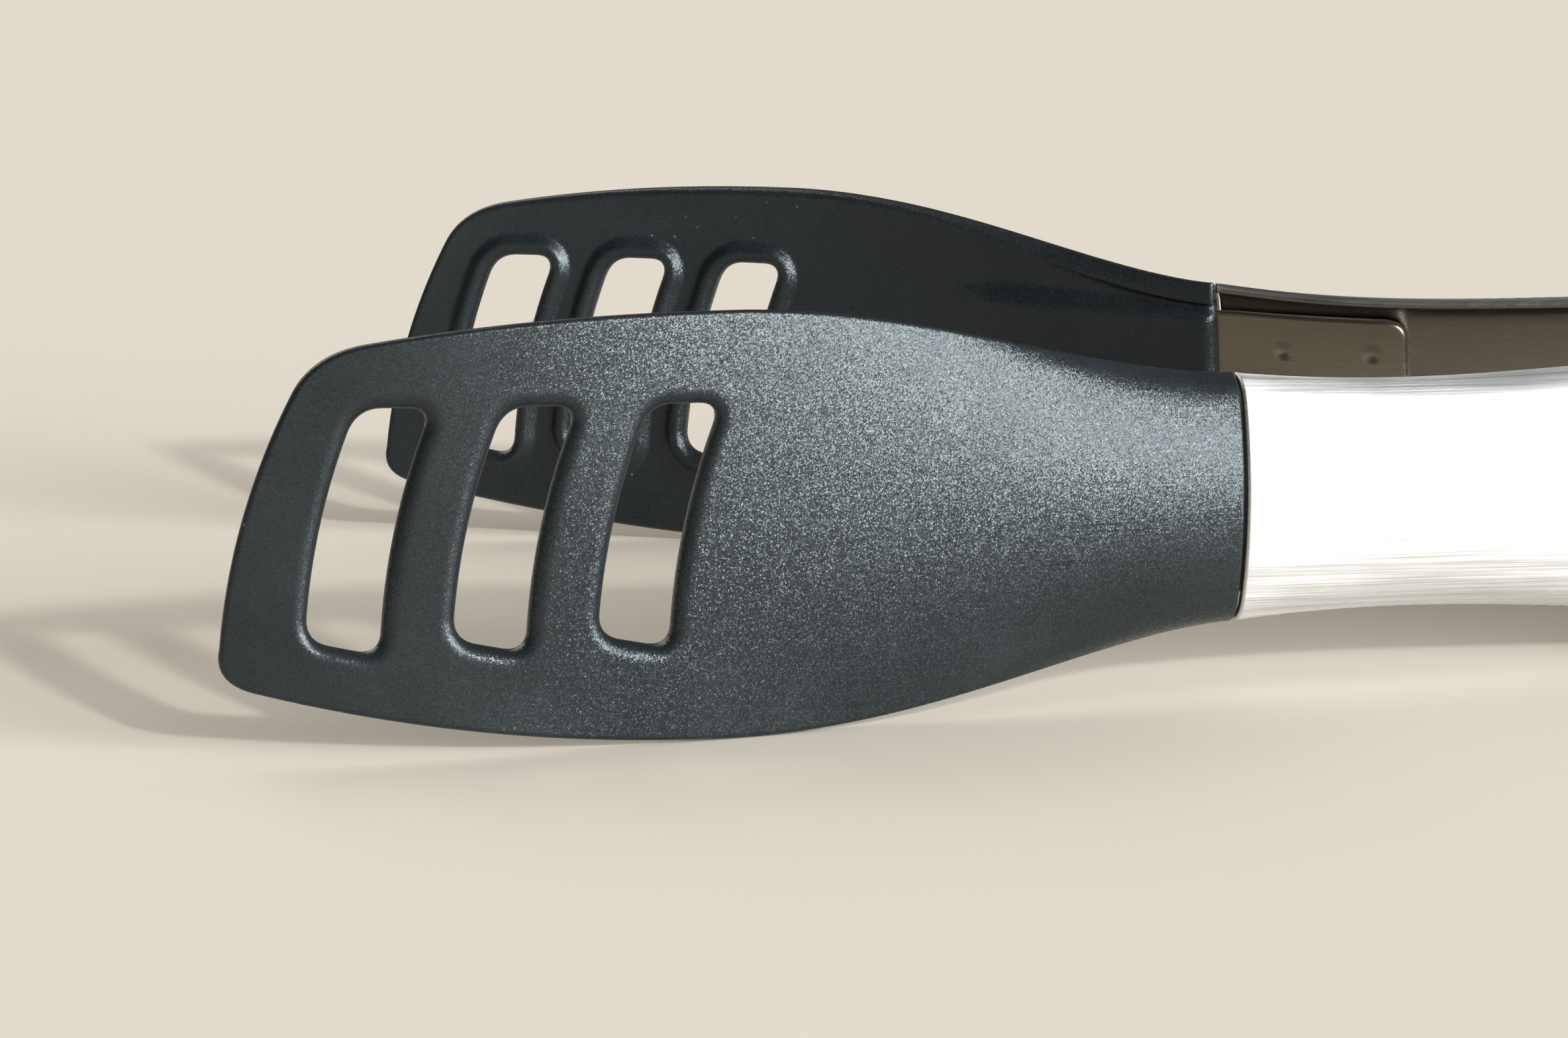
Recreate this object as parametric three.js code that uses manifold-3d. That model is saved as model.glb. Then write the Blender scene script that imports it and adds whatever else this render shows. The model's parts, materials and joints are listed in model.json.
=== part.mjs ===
// Spring loaded kitchen tongs lying on their side, in millimetres, +Z up.
// Two stainless channel arms turn on one riveted hinge at +X and carry moulded turner heads at -X.
// A torsion spring holds them open, and a pull-out lock holds them shut.
import * as THREE from 'three';
import { mergeVertices } from 'three/addons/utils/BufferGeometryUtils.js';
import Module from 'manifold-3d';

const wasm = await Module();
wasm.setup();

const degree = Math.PI / 180;

// Driving dimensions: pose and arms
const openAngle = 13.5;
const closedAngle = -2.5;
const armLength = 148.5;
const hingeOffset = 13.5;
const armSheet = 1.2;
const seamHalfWidth = 14;
const waistHalfWidth = 12.85;
const waistFromSeam = 20;
const handleHalfWidth = 14.8;
const handleFromSeam = 70;
const hingeHalfWidth = 14.5;
const hingeFlatLength = 30;
const seamRoll = 4.5;
const hingeRoll = 2.5;
const seamCrown = 22;
const hingeCrown = 7;
const seamFlangeDepth = 6.2;
const handleFlangeDepth = 9.6;
const earFlangeDepth = 10.8;
const earBlankDepth = 25;
const earStart = 39;
const earRadius = 8.2;
const earReach = 18.3;
const earTailTop = 3;
const earTailFoot = -5;
const earThroat = [24, -1];
const backOverhang = 6;

// Driving dimensions: heads
const headLength = 113.4;
const headHalfWidth = 23.4;
const neckLength = 58;
const neckWall = 2.8;
const bladeWall = 2.6;
const tipWall = 1.9;
const edgeCurve = 75;
const tipCurveHeight = -19;
const tipTopCorner = 15;
const tipBottomCorner = -12.5;
const topRoundControl = [10.2, 19.2];
const topRoundEnd = [15.6, 20.3];
const topEdgeControl = 33.6;
const bottomRoundControl = [-0.6, -16.4];
const bottomRoundStart = [4.4, -17.4];
const bottomEdgeControl = 29.5;
const slotCurveHeight = -15.5;
const slotCount = 3;
const slotPitch = 15.6;
const slotWidth = 8.1;
const slotTop = 13.5;
const slotBottom = -12.5;
const slotCorner = 2.6;
const slotFootSlope = 0.2;
const firstSlotFromTip = 13.3;
const seamGap = 0.3;

// Driving dimensions: steel insert that ties each head to its arm
const insertSheet = 1.2;
const insertInArm = 24;
const insertInHead = 34;
const insertHalfWidth = 11;
const insertCornerRadius = 3;
const neckCover = 1.6;
const coverMargin = 1.2;
const coverRunOut = 6;
const weldRadius = 1.3;
const weldDepth = 0.3;
const weldFromSeam = [8.5, 19.7];
const weldAcross = 5.9;

// Driving dimensions: grips
const gripStart = 28;
const gripEnd = 96;
const gripThickness = 2.6;
const gripEdge = 0.9;
const gripFlange = 3;
const gripStudRadius = 2.2;
const gripStudHeadRadius = 3.4;
const gripStudHead = 1.2;
const gripStudCount = 3;
const gripGrooveCount = 5;
const gripGroovePitch = 4;
const gripGrooveDepth = 0.7;
const gripGrooveRadius = 1.4;
const gripGrooveHalfWidth = 9;
const firstGrooveFromEnd = 12;
const linerSheet = 1.5;
const linerMargin = 8;
const studFromLinerEnd = 4;

// Driving dimensions: hinge, spring and lock
const pinRadius = 2.4;
const pinHeadRadius = 4.5;
const pinHeadThickness = 1.6;
const washerRadius = 5.4;
const washerThickness = 0.8;
const tubeRadius = 3.2;
const wireRadius = 0.75;
const coilRadius = 4.4;
const coilTurns = 4;
const coilPitch = 1.8;
const coilStart = 2;
const springLegReach = 24;
const stemThickness = 1.6;
const stemRim = 2.1;
const stemShoulder = 2;
const stemInTab = 9;
const lockPinRadius = 1;
const lockPinHeadRadius = 1.8;
const lockPinHead = 0.8;
const lockedReach = 14.5;
const lockTravel = 6;
const lockToothTip = 11.5;
const tabStart = 15;
const tabLength = 29;
const tabHalfWidth = 8.5;
const tabThickness = 7;
const tabBevel = 1;
const tabNeckShare = 0.72;
const hangingHoleRadius = 3.6;
const hangingHoleLength = 11;

// Clearances, and how far a blank or a cutter runs on past the piece it makes
const seatGap = 0.3;
const runningGap = 0.15;
const slideGap = 0.25;
const spare = 5;

const colours = {
  nylon: { color: 0x2b2f33, roughness: 0.5, metalness: 0 },
  steel: { color: 0xc9c8c4, roughness: 0.32, metalness: 1 },
  elastomer: { color: 0x1d1e1f, roughness: 0.8, metalness: 0 },
  springSteel: { color: 0x9a9a98, roughness: 0.35, metalness: 1 },
};

function material(kind) {
  return new THREE.MeshStandardMaterial(colours[kind]);
}

// Solids: closed geometry in, joined or cut, closed geometry out

function solid(geometry) {
  const bare = new THREE.BufferGeometry();
  bare.setAttribute('position', geometry.getAttribute('position'));
  bare.setIndex(geometry.getIndex());
  const merged = mergeVertices(bare, 1e-4);
  return new wasm.Manifold(new wasm.Mesh({
    numProp: 3,
    vertProperties: new Float32Array(merged.getAttribute('position').array),
    triVerts: new Uint32Array(merged.getIndex().array),
  }));
}

function geometryOf(body) {
  const mesh = body.getMesh();
  const geometry = new THREE.BufferGeometry();
  geometry.setAttribute('position', new THREE.BufferAttribute(new Float32Array(mesh.vertProperties), 3));
  geometry.setIndex(new THREE.BufferAttribute(new Uint32Array(mesh.triVerts), 1));
  geometry.computeVertexNormals();
  return geometry;
}

function cut(body, cutters) {
  return cutters.reduce((rest, cutter) => rest.subtract(cutter), body);
}

function join(bodies) {
  return bodies.reduce((whole, piece) => whole.add(piece));
}

// A sheet made by placing the vertices of a unit box: along and across run from 0 to 1,
// and depth is 0 on the outer face and 1 on the inner face.
function sheet(alongSteps, acrossSteps, place) {
  const geometry = new THREE.BoxGeometry(1, 1, 1, alongSteps, acrossSteps, 1);
  const position = geometry.getAttribute('position');
  for (let i = 0; i < position.count; i += 1) {
    const point = place(position.getX(i) + 0.5, position.getY(i) + 0.5, 0.5 - position.getZ(i));
    position.setXYZ(i, point.x, point.y, point.z);
  }
  return solid(geometry);
}

// A shape drawn in the plane of the sheet and extruded through it.
function throughSheet(shape, from, to, curveSegments = 12) {
  const depth = to - from;
  const geometry = new THREE.ExtrudeGeometry(shape, { depth, bevelEnabled: false, curveSegments });
  geometry.translate(0, 0, from);
  return solid(geometry);
}

// A side view drawn as along and outward, extruded across the sheet.
function acrossSheet(shape, halfWidth, curveSegments = 12) {
  const geometry = new THREE.ExtrudeGeometry(shape, {
    depth: 2 * halfWidth,
    bevelEnabled: false,
    curveSegments,
  });
  geometry.translate(0, 0, -halfWidth);
  geometry.rotateX(90 * degree);
  return solid(geometry);
}

function rodAcross(radius, halfLength, sides = 16) {
  return solid(new THREE.CylinderGeometry(radius, radius, 2 * halfLength, sides));
}

function rodOutward(radius, along, from, to, sides = 12) {
  const geometry = new THREE.CylinderGeometry(radius, radius, to - from, sides);
  geometry.rotateX(90 * degree);
  geometry.translate(along, 0, (from + to) / 2);
  return solid(geometry);
}

function ease(value, from, to) {
  return THREE.MathUtils.smoothstep(value, from, to);
}

function mix(from, to, share) {
  return THREE.MathUtils.lerp(from, to, share);
}

// Cross-section shared by arm, neck, insert and grip: a crowned back, a rolled edge, a straight flange.
// share runs from -1 at the lower free edge to 1 at the upper one, and inset goes inward from the face.
const crownSteps = 3;
const rollSteps = 3;
const sectionSteps = 2 * (crownSteps + rollSteps + 1);

function sectionPoint(section, share, inset) {
  const side = Math.sign(share);
  const step = Math.abs(share) * (sectionSteps / 2);
  const { crown, turn, roll } = section;
  const crownRadius = (section.halfWidth - roll * (Math.sin(turn) - Math.sin(crown))) / Math.sin(crown);
  const crownShare = Math.min(step / crownSteps, 1);
  const rollShare = THREE.MathUtils.clamp((step - crownSteps) / rollSteps, 0, 1);
  const flangeShare = Math.max(step - crownSteps - rollSteps, 0);
  const crownTurn = crown * crownShare;
  const angle = crownTurn + (turn - crown) * rollShare;
  const flange = section.flange * flangeShare;
  const across = crownRadius * Math.sin(crownTurn)
    + roll * (Math.sin(angle) - Math.sin(crownTurn)) + flange * Math.cos(turn);
  const drop = crownRadius * (1 - Math.cos(crownTurn))
    + roll * (Math.cos(crownTurn) - Math.cos(angle)) + flange * Math.sin(turn);
  return {
    across: side * (across - inset * Math.sin(angle)),
    out: -drop - inset * Math.cos(angle),
  };
}

function rolledDepth(section) {
  return -sectionPoint({ ...section, flange: 0 }, 1, 0).out;
}

// Arm: along is measured from the hinge axis towards the head, out from the hinge axis to the back.

function armHalfWidth(along, hingeWidth) {
  const fromSeam = armLength - along;
  if (fromSeam < waistFromSeam) {
    const share = 1 - fromSeam / waistFromSeam;
    return waistHalfWidth + (seamHalfWidth - waistHalfWidth) * share * share;
  }
  const handle = mix(waistHalfWidth, handleHalfWidth, ease(fromSeam, waistFromSeam, handleFromSeam));
  return mix(hingeWidth, handle, ease(along, hingeFlatLength, 2 * hingeFlatLength));
}

function armSection(along, hingeWidth, flange = 0) {
  const share = ease(along, hingeFlatLength, armLength - waistFromSeam);
  return {
    halfWidth: armHalfWidth(along, hingeWidth),
    roll: mix(hingeRoll, seamRoll, share),
    crown: mix(hingeCrown, seamCrown, share) * degree,
    turn: 90 * degree,
    flange,
  };
}

// Point of the arm's sheet, with inset measured inward from the outer face.
function armPoint(along, share, inset, hingeWidth, flange) {
  const point = sectionPoint(armSection(along, hingeWidth, flange), share, inset);
  return new THREE.Vector3(along, point.across, hingeOffset + point.out);
}

// Side view of the pressed arm: shallow flanges at the seam, deeper ones at the hinge, and the ears.
function armSideView() {
  const above = hingeOffset + spare;
  const seam = armLength - seamGap / 2;
  const earEdge = hingeOffset - earFlangeDepth;
  const view = new THREE.Shape();
  view.moveTo(seam, above);
  view.lineTo(-backOverhang, above);
  view.lineTo(-backOverhang, hingeOffset - armSheet);
  view.quadraticCurveTo(-earReach, hingeOffset - earTailTop, -earReach, earTailTop);
  view.quadraticCurveTo(-earReach, earTailFoot, -earRadius, 0.93 * -earRadius);
  view.quadraticCurveTo(-earRadius / 2, -earRadius, 0, -earRadius);
  view.quadraticCurveTo(1.6 * earRadius, -earRadius, ...earThroat);
  view.quadraticCurveTo(hingeFlatLength, earEdge, earStart, earEdge);
  view.quadraticCurveTo(gripEnd, hingeOffset - handleFlangeDepth, seam, hingeOffset - seamFlangeDepth);
  return view;
}

// Point at a distance from the hinge axis, on a ray turned from the arm's tail end towards its back.
function tailPoint(distance, angle) {
  return new THREE.Vector2(-distance * Math.cos(angle), distance * Math.sin(angle));
}

function capsule(from, to, radius) {
  const heading = Math.atan2(to.y - from.y, to.x - from.x);
  const shape = new THREE.Shape();
  shape.absarc(from.x, from.y, radius, heading + 90 * degree, heading + 270 * degree, false);
  shape.absarc(to.x, to.y, radius, heading - 90 * degree, heading + 90 * degree, false);
  return shape;
}

// Window in each ear for the lock pin: a band that it sweeps as the arms turn, and two radial slots.
// The tooth left between the slots holds the pulled-out pin when the arms are shut.
function lockWindow() {
  const halfSlot = lockPinRadius + slideGap;
  const freeReach = lockedReach - lockTravel;
  const shut = closedAngle * degree;
  const open = openAngle * degree;
  const slots = [shut, open].map((angle) => (
    acrossSheet(capsule(tailPoint(freeReach, angle), tailPoint(lockedReach, angle), halfSlot),
      2 * hingeHalfWidth, 6)
  ));
  const band = new THREE.Shape();
  band.absarc(0, 0, lockToothTip, Math.PI - shut, Math.PI - open, true);
  band.absarc(0, 0, freeReach - halfSlot, Math.PI - open, Math.PI - shut, false);
  return [...slots, acrossSheet(band, 2 * hingeHalfWidth, 6)];
}

function gripStudPlaces() {
  const first = gripStart + linerMargin + studFromLinerEnd;
  const last = gripEnd - linerMargin - studFromLinerEnd;
  return Array.from({ length: gripStudCount }, (_, i) => mix(first, last, i / (gripStudCount - 1)));
}

// The stations crowd towards the seam, where the back is most curved.
function arm(hingeWidth) {
  const start = -earReach - spare;
  const end = armLength + 1;
  const crowding = 1.4;
  const blank = sheet(13, sectionSteps, (alongShare, acrossShare, depth) => {
    const along = mix(start, end, 1 - (1 - alongShare) ** crowding);
    const pastEar = ease(along, hingeFlatLength, 2 * hingeFlatLength);
    const blankDepth = mix(earBlankDepth, earFlangeDepth + 2, pastEar);
    const flange = blankDepth - rolledDepth(armSection(along, hingeWidth));
    return armPoint(along, 2 * acrossShare - 1, depth * armSheet, hingeWidth, flange);
  });
  const studHoles = gripStudPlaces().map((along) => (
    rodOutward(gripStudRadius + seatGap, along, hingeOffset - spare, hingeOffset + spare)
  ));
  const pinHole = rodAcross(pinRadius + runningGap, 2 * hingeHalfWidth);
  const trimmed = blank.intersect(acrossSheet(armSideView(), 2 * hingeHalfWidth));
  return cut(trimmed, [pinHole, ...lockWindow(), ...studHoles]);
}

// Head: along is measured from the seam towards the tip, on the line of the arm's back.

const headSpine = new THREE.CubicBezierCurve(
  new THREE.Vector2(0, 0),
  new THREE.Vector2(0.25 * headLength, 4.2),
  new THREE.Vector2(0.72 * headLength, 10.2),
  new THREE.Vector2(headLength + 1, 0.1),
);

// Rise of the head's back above the arm's line, by halving until the curve's along value is met.
function headRise(along) {
  let low = 0;
  let high = 1;
  for (let i = 0; i < 30; i += 1) {
    const middle = (low + high) / 2;
    if (headSpine.getPoint(middle).x < along) low = middle;
    else high = middle;
  }
  return headSpine.getPoint(low).y;
}

function headWidthAt(along) {
  const share = Math.max(along, 0) / neckLength;
  const flare = ease(share ** 0.85, 0, 1);
  const trimmedOff = ease(along, neckLength, neckLength + 2 * spare);
  return mix(seamHalfWidth, headHalfWidth, flare) + trimmedOff;
}

function headSection(along, halfWidth = headWidthAt(along)) {
  const rollShare = ease(along, 0, 0.75 * neckLength);
  const flatShare = ease(along, 0, 0.85 * headLength);
  const crown = mix(seamCrown, 2, flatShare ** 0.75) * degree;
  return {
    halfWidth,
    roll: seamRoll,
    crown,
    turn: mix(90 * degree, crown, rollShare),
    flange: 0,
  };
}

function headWall(along) {
  const blade = mix(neckWall, bladeWall, ease(along, 0, neckLength));
  return mix(blade, tipWall, ease(along, neckLength, headLength));
}

function headPoint(along, share, inset, section = headSection(along)) {
  const point = sectionPoint(section, share, inset);
  return new THREE.Vector3(armLength + along, point.across, hingeOffset + headRise(along) + point.out);
}

// Along value of a curved edge at a height, for a circle centred at the given height.
function edgeAt(reach, height, centreHeight) {
  return reach - edgeCurve + Math.sqrt(edgeCurve ** 2 - (height - centreHeight) ** 2);
}

// Outline of the blade: nearly straight sides and a convex tip edge that leans forward at the bottom.
function bladeOutline() {
  const tip = armLength + headLength;
  const widest = armLength + neckLength;
  const behind = armLength - spare;
  const beyond = headHalfWidth + spare;
  const fromTip = ([back, height]) => [tip - back, height];
  const cornerAt = (height) => (
    new THREE.Vector2(armLength + edgeAt(headLength, height, tipCurveHeight), height)
  );
  const curveCentre = new THREE.Vector2(tip - edgeCurve, tipCurveHeight);
  const turnTo = (height) => cornerAt(height).sub(curveCentre).angle();
  const outline = new THREE.Shape();
  outline.moveTo(behind, beyond);
  outline.lineTo(behind, -beyond);
  outline.lineTo(widest, -beyond);
  outline.lineTo(widest, -headHalfWidth);
  outline.quadraticCurveTo(tip - bottomEdgeControl, -headHalfWidth, ...fromTip(bottomRoundStart));
  outline.quadraticCurveTo(...fromTip(bottomRoundControl), ...cornerAt(tipBottomCorner).toArray());
  outline.absarc(...curveCentre.toArray(), edgeCurve, turnTo(tipBottomCorner), turnTo(tipTopCorner), false);
  outline.quadraticCurveTo(...fromTip(topRoundControl), ...fromTip(topRoundEnd));
  outline.quadraticCurveTo(tip - topEdgeControl, headHalfWidth, widest, headHalfWidth);
  outline.lineTo(widest, beyond);
  return outline;
}

// One slot: two parallel curved sides, a level top and a foot along the blade's lower edge,
// with each corner rounded from slotCorner before it to slotCorner after it.
function slotShape(middle) {
  const half = slotWidth / 2;
  const head = slotTop - slotCorner;
  const steps = 6;
  const footAt = (offset) => slotBottom + slotFootSlope * offset;
  const at = (offset, height) => [armLength + edgeAt(middle + offset, height, slotCurveHeight), height];
  const onFoot = (offset) => at(offset, footAt(offset));
  const onSide = (offset, share) => at(offset, mix(footAt(offset) + slotCorner, head, share));
  const shape = new THREE.Shape();
  shape.moveTo(...onSide(half, 0));
  for (let i = 1; i <= steps; i += 1) shape.lineTo(...onSide(half, i / steps));
  shape.quadraticCurveTo(...at(half, slotTop), ...at(half - slotCorner, slotTop));
  shape.lineTo(...at(slotCorner - half, slotTop));
  shape.quadraticCurveTo(...at(-half, slotTop), ...onSide(-half, 1));
  for (let i = 1; i <= steps; i += 1) shape.lineTo(...onSide(-half, 1 - i / steps));
  shape.quadraticCurveTo(...onFoot(-half), ...onFoot(slotCorner - half));
  shape.lineTo(...onFoot(half - slotCorner));
  shape.quadraticCurveTo(...onFoot(half), ...onSide(half, 0));
  return shape;
}

// Share of the section at which the insert's edge lies, so that its width stays the same in arm and neck.
function insertShare(section, halfWidth) {
  let low = 0;
  let high = 1;
  for (let i = 0; i < 20; i += 1) {
    const middle = (low + high) / 2;
    if (sectionPoint(section, middle, 0).across < halfWidth) low = middle;
    else high = middle;
  }
  return low;
}

// A strip that follows the arm's inner face and runs on inside the neck.
function strip(from, to, outerInset, innerInset, halfWidth, alongSteps) {
  return sheet(alongSteps, 6, (alongShare, acrossShare, depth) => {
    const along = mix(from, to, alongShare);
    const section = along < 0 ? armSection(armLength + along, hingeHalfWidth) : headSection(along);
    const share = (2 * acrossShare - 1) * insertShare(section, halfWidth);
    const point = sectionPoint(section, share, mix(outerInset, innerInset(along), depth));
    const rise = along < 0 ? 0 : headRise(along);
    return new THREE.Vector3(armLength + along, point.across, hingeOffset + rise + point.out);
  });
}

function roundedEnd(along, halfWidth, radius) {
  const outline = new THREE.Shape();
  const far = armLength + insertInHead + spare;
  const beyond = halfWidth + spare;
  outline.moveTo(far, -beyond);
  outline.lineTo(far, beyond);
  outline.lineTo(along + radius, beyond);
  outline.lineTo(along + radius, halfWidth);
  outline.absarc(along + radius, halfWidth - radius, radius, 90 * degree, 180 * degree, false);
  outline.absarc(along + radius, -halfWidth + radius, radius, 180 * degree, 270 * degree, false);
  outline.lineTo(along + radius, -beyond);
  return outline;
}

const insertOuter = armSheet + seatGap;
const insertInner = insertOuter + insertSheet;
const sheetTop = hingeOffset + 20;

function insert() {
  const plate = strip(-insertInArm, insertInHead, insertOuter, () => insertInner, insertHalfWidth, 9);
  const end = armLength - insertInArm;
  const plateHalf = insertHalfWidth - insertOuter * Math.sin(seamCrown * degree);
  const rounded = plate.intersect(
    throughSheet(roundedEnd(end, plateHalf, insertCornerRadius), 0, sheetTop),
  );
  const ball = (weldRadius ** 2 + weldDepth ** 2) / (2 * weldDepth);
  const welds = weldFromSeam.flatMap((fromSeam) => [-1, 1].map((side) => {
    const section = armSection(armLength - fromSeam, hingeHalfWidth);
    const share = side * insertShare(section, weldAcross);
    const centre = sectionPoint(section, share, insertInner - weldDepth + ball);
    const geometry = new THREE.SphereGeometry(ball, 10, 16);
    geometry.rotateX(90 * degree);
    geometry.translate(armLength - fromSeam, centre.across, hingeOffset + centre.out);
    return solid(geometry);
  }));
  return cut(rounded, welds);
}

// The neck is thickened over the insert, so that the pocket for it stays closed on both faces.
function head() {
  const blank = sheet(17, sectionSteps, (alongShare, acrossShare, depth) => {
    const along = mix(seamGap / 2, headLength + 1, alongShare);
    return headPoint(along, 2 * acrossShare - 1, depth * headWall(along));
  });
  const coverEnd = insertInHead + coverRunOut;
  const coverInset = (along) => (
    mix(insertInner + seatGap + neckCover, 0.85 * neckWall, ease(along, 0.6 * coverEnd, coverEnd))
  );
  const cover = strip(seamGap / 2, coverEnd, neckWall / 2, coverInset, insertHalfWidth + coverMargin, 6);
  const pocketInset = insertInner + seatGap;
  const pocket = strip(-2, insertInHead + seatGap, insertOuter - seatGap, () => pocketInset,
    insertHalfWidth + seatGap, 6);
  const slots = Array.from({ length: slotCount }, (_, i) => (
    throughSheet(slotShape(headLength - firstSlotFromTip - i * slotPitch), 0, sheetTop, 5)
  ));
  const blade = blank.intersect(throughSheet(bladeOutline(), 0, sheetTop, 10));
  return cut(join([blade, cover]), [pocket, ...slots]);
}

// Grip: a soft pad round the back of the arm, snapped through it into a liner.

function gripBulge(alongShare) {
  return Math.sin(Math.PI * alongShare) ** 0.5;
}

function grip(hingeWidth) {
  const pad = sheet(8, sectionSteps, (alongShare, acrossShare, depth) => {
    const share = 2 * acrossShare - 1;
    const along = mix(gripStart, gripEnd, alongShare);
    const full = mix(gripThickness, 2 * gripEdge, Math.abs(share) ** 3);
    const thickness = mix(gripEdge, full, gripBulge(alongShare));
    return armPoint(along, share, -seatGap - (1 - depth) * thickness, hingeWidth, gripFlange);
  });
  const innerFace = hingeOffset - armSheet - linerSheet - 2 * seatGap;
  const studs = gripStudPlaces().flatMap((along) => [
    rodOutward(gripStudRadius, along, innerFace - gripStudHead / 2, hingeOffset + seatGap + gripEdge),
    rodOutward(gripStudHeadRadius, along, innerFace - gripStudHead, innerFace),
  ]);
  const grooveOut = hingeOffset + seatGap + gripThickness + gripGrooveRadius - gripGrooveDepth;
  const grooves = Array.from({ length: gripGrooveCount }, (_, i) => {
    const along = gripEnd - firstGrooveFromEnd - i * gripGroovePitch;
    return rodAcross(gripGrooveRadius, gripGrooveHalfWidth, 8).translate(along, 0, grooveOut);
  });
  return cut(join([pad, ...studs]), grooves);
}

function liner(hingeWidth) {
  const from = gripStart + linerMargin;
  const to = gripEnd - linerMargin;
  const plate = sheet(4, sectionSteps, (alongShare, acrossShare, depth) => {
    const along = mix(from, to, alongShare);
    const inset = armSheet + seatGap + depth * linerSheet;
    return armPoint(along, 2 * acrossShare - 1, inset, hingeWidth, 0);
  });
  return cut(plate, gripStudPlaces().map((along) => (
    rodOutward(gripStudRadius + seatGap, along, 0, hingeOffset + 2)
  )));
}

// Hinge: rivet, washers, spacer tube and torsion spring on one axis, drawn with the axis along Z.

function revolve(profile, sides = 16) {
  const geometry = new THREE.LatheGeometry(profile.map(([r, z]) => new THREE.Vector2(r, z)), sides);
  geometry.rotateX(90 * degree);
  return solid(geometry);
}

const washerBase = hingeHalfWidth + runningGap;
const pinHeadBase = washerBase + washerThickness + runningGap;
const pinTop = pinHeadBase + pinHeadThickness;

function hingePin() {
  const flat = 0.7 * pinHeadRadius;
  const rim = pinHeadBase + 0.5 * pinHeadThickness;
  return revolve([
    [0, -pinTop], [flat, -pinTop], [pinHeadRadius, -rim], [pinHeadRadius, -pinHeadBase],
    [pinRadius, -pinHeadBase], [pinRadius, pinHeadBase], [pinHeadRadius, pinHeadBase],
    [pinHeadRadius, rim], [flat, pinTop], [0, pinTop],
  ]);
}

function ring(inner, outer, from, to) {
  return revolve([[inner, from], [outer, from], [outer, to], [inner, to], [inner, from]]);
}

const rearHalfWidth = hingeHalfWidth - armSheet - seatGap;
const insideHalfWidth = rearHalfWidth - armSheet;

// Point where a leg of the spring bears on the inside of the rear arm, seen along the hinge axis.
function legPoint() {
  const crownDrop = (rearHalfWidth - hingeRoll) * Math.tan(hingeCrown * degree / 2);
  const out = hingeOffset - crownDrop - armSheet - seatGap - wireRadius;
  const angle = openAngle * degree;
  return new THREE.Vector2(
    -springLegReach * Math.cos(angle) + out * Math.sin(angle),
    springLegReach * Math.sin(angle) + out * Math.cos(angle),
  );
}

class SpringPath extends THREE.Curve {
  constructor() {
    super();
    const end = legPoint();
    this.leave = Math.atan2(end.y, end.x) - Math.acos(coilRadius / end.length());
    this.sweep = 2 * this.leave + 2 * Math.PI * coilTurns;
    this.legLength = Math.sqrt(end.lengthSq() - coilRadius ** 2);
    this.coilLength = coilRadius * this.sweep;
    this.total = 2 * this.legLength + this.coilLength;
  }

  // Straight in along one leg, round the coil, and out along the other leg.
  getPoint(share) {
    const onCoil = share * this.total - this.legLength;
    const turned = THREE.MathUtils.clamp(onCoil / this.coilLength, 0, 1) * this.sweep;
    const angle = turned - this.leave;
    const beyond = Math.min(onCoil, 0) + Math.max(onCoil - this.coilLength, 0);
    return new THREE.Vector3(
      coilRadius * Math.cos(angle) - beyond * Math.sin(angle),
      coilRadius * Math.sin(angle) + beyond * Math.cos(angle),
      coilStart + coilPitch * (turned / (2 * Math.PI)),
    );
  }
}

function spring() {
  const wire = new THREE.Shape();
  wire.absarc(0, 0, wireRadius, 0, 2 * Math.PI, false);
  const geometry = new THREE.ExtrudeGeometry(wire, {
    steps: 60,
    curveSegments: 4,
    bevelEnabled: false,
    extrudePath: new SpringPath(),
  });
  return solid(geometry);
}

// Lock: a flat stem that slides on the spacer tube, its cross pin, and the pull tab.

function stem() {
  const slotHalf = tubeRadius + slideGap;
  const half = slotHalf + stemRim;
  const freeReach = lockedReach - lockTravel;
  const neckHalf = half - stemShoulder;
  const shape = new THREE.Shape();
  shape.moveTo(0, half);
  shape.absarc(-lockTravel, 0, half, 90 * degree, 270 * degree, false);
  shape.lineTo(freeReach, -half);
  shape.lineTo(tabStart - 1, -neckHalf);
  shape.lineTo(tabStart + stemInTab, -neckHalf);
  shape.lineTo(tabStart + stemInTab, neckHalf);
  shape.lineTo(tabStart - 1, neckHalf);
  shape.lineTo(freeReach, half);
  const slot = capsule(new THREE.Vector2(-lockTravel, 0), new THREE.Vector2(0, 0), slotHalf);
  const pinHole = new THREE.Path();
  pinHole.absarc(freeReach, 0, lockPinRadius + seatGap, 0, 2 * Math.PI, true);
  shape.holes.push(new THREE.Path(slot.getPoints(10)), pinHole);
  return throughSheet(shape, -stemThickness / 2, stemThickness / 2);
}

function lockPin() {
  const headBase = hingeHalfWidth + seatGap;
  const end = headBase + lockPinHead;
  return revolve([
    [0, -end], [lockPinHeadRadius, -end], [lockPinHeadRadius, -headBase], [lockPinRadius, -headBase],
    [lockPinRadius, headBase], [lockPinHeadRadius, headBase], [lockPinHeadRadius, end], [0, end],
  ], 12);
}

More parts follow.
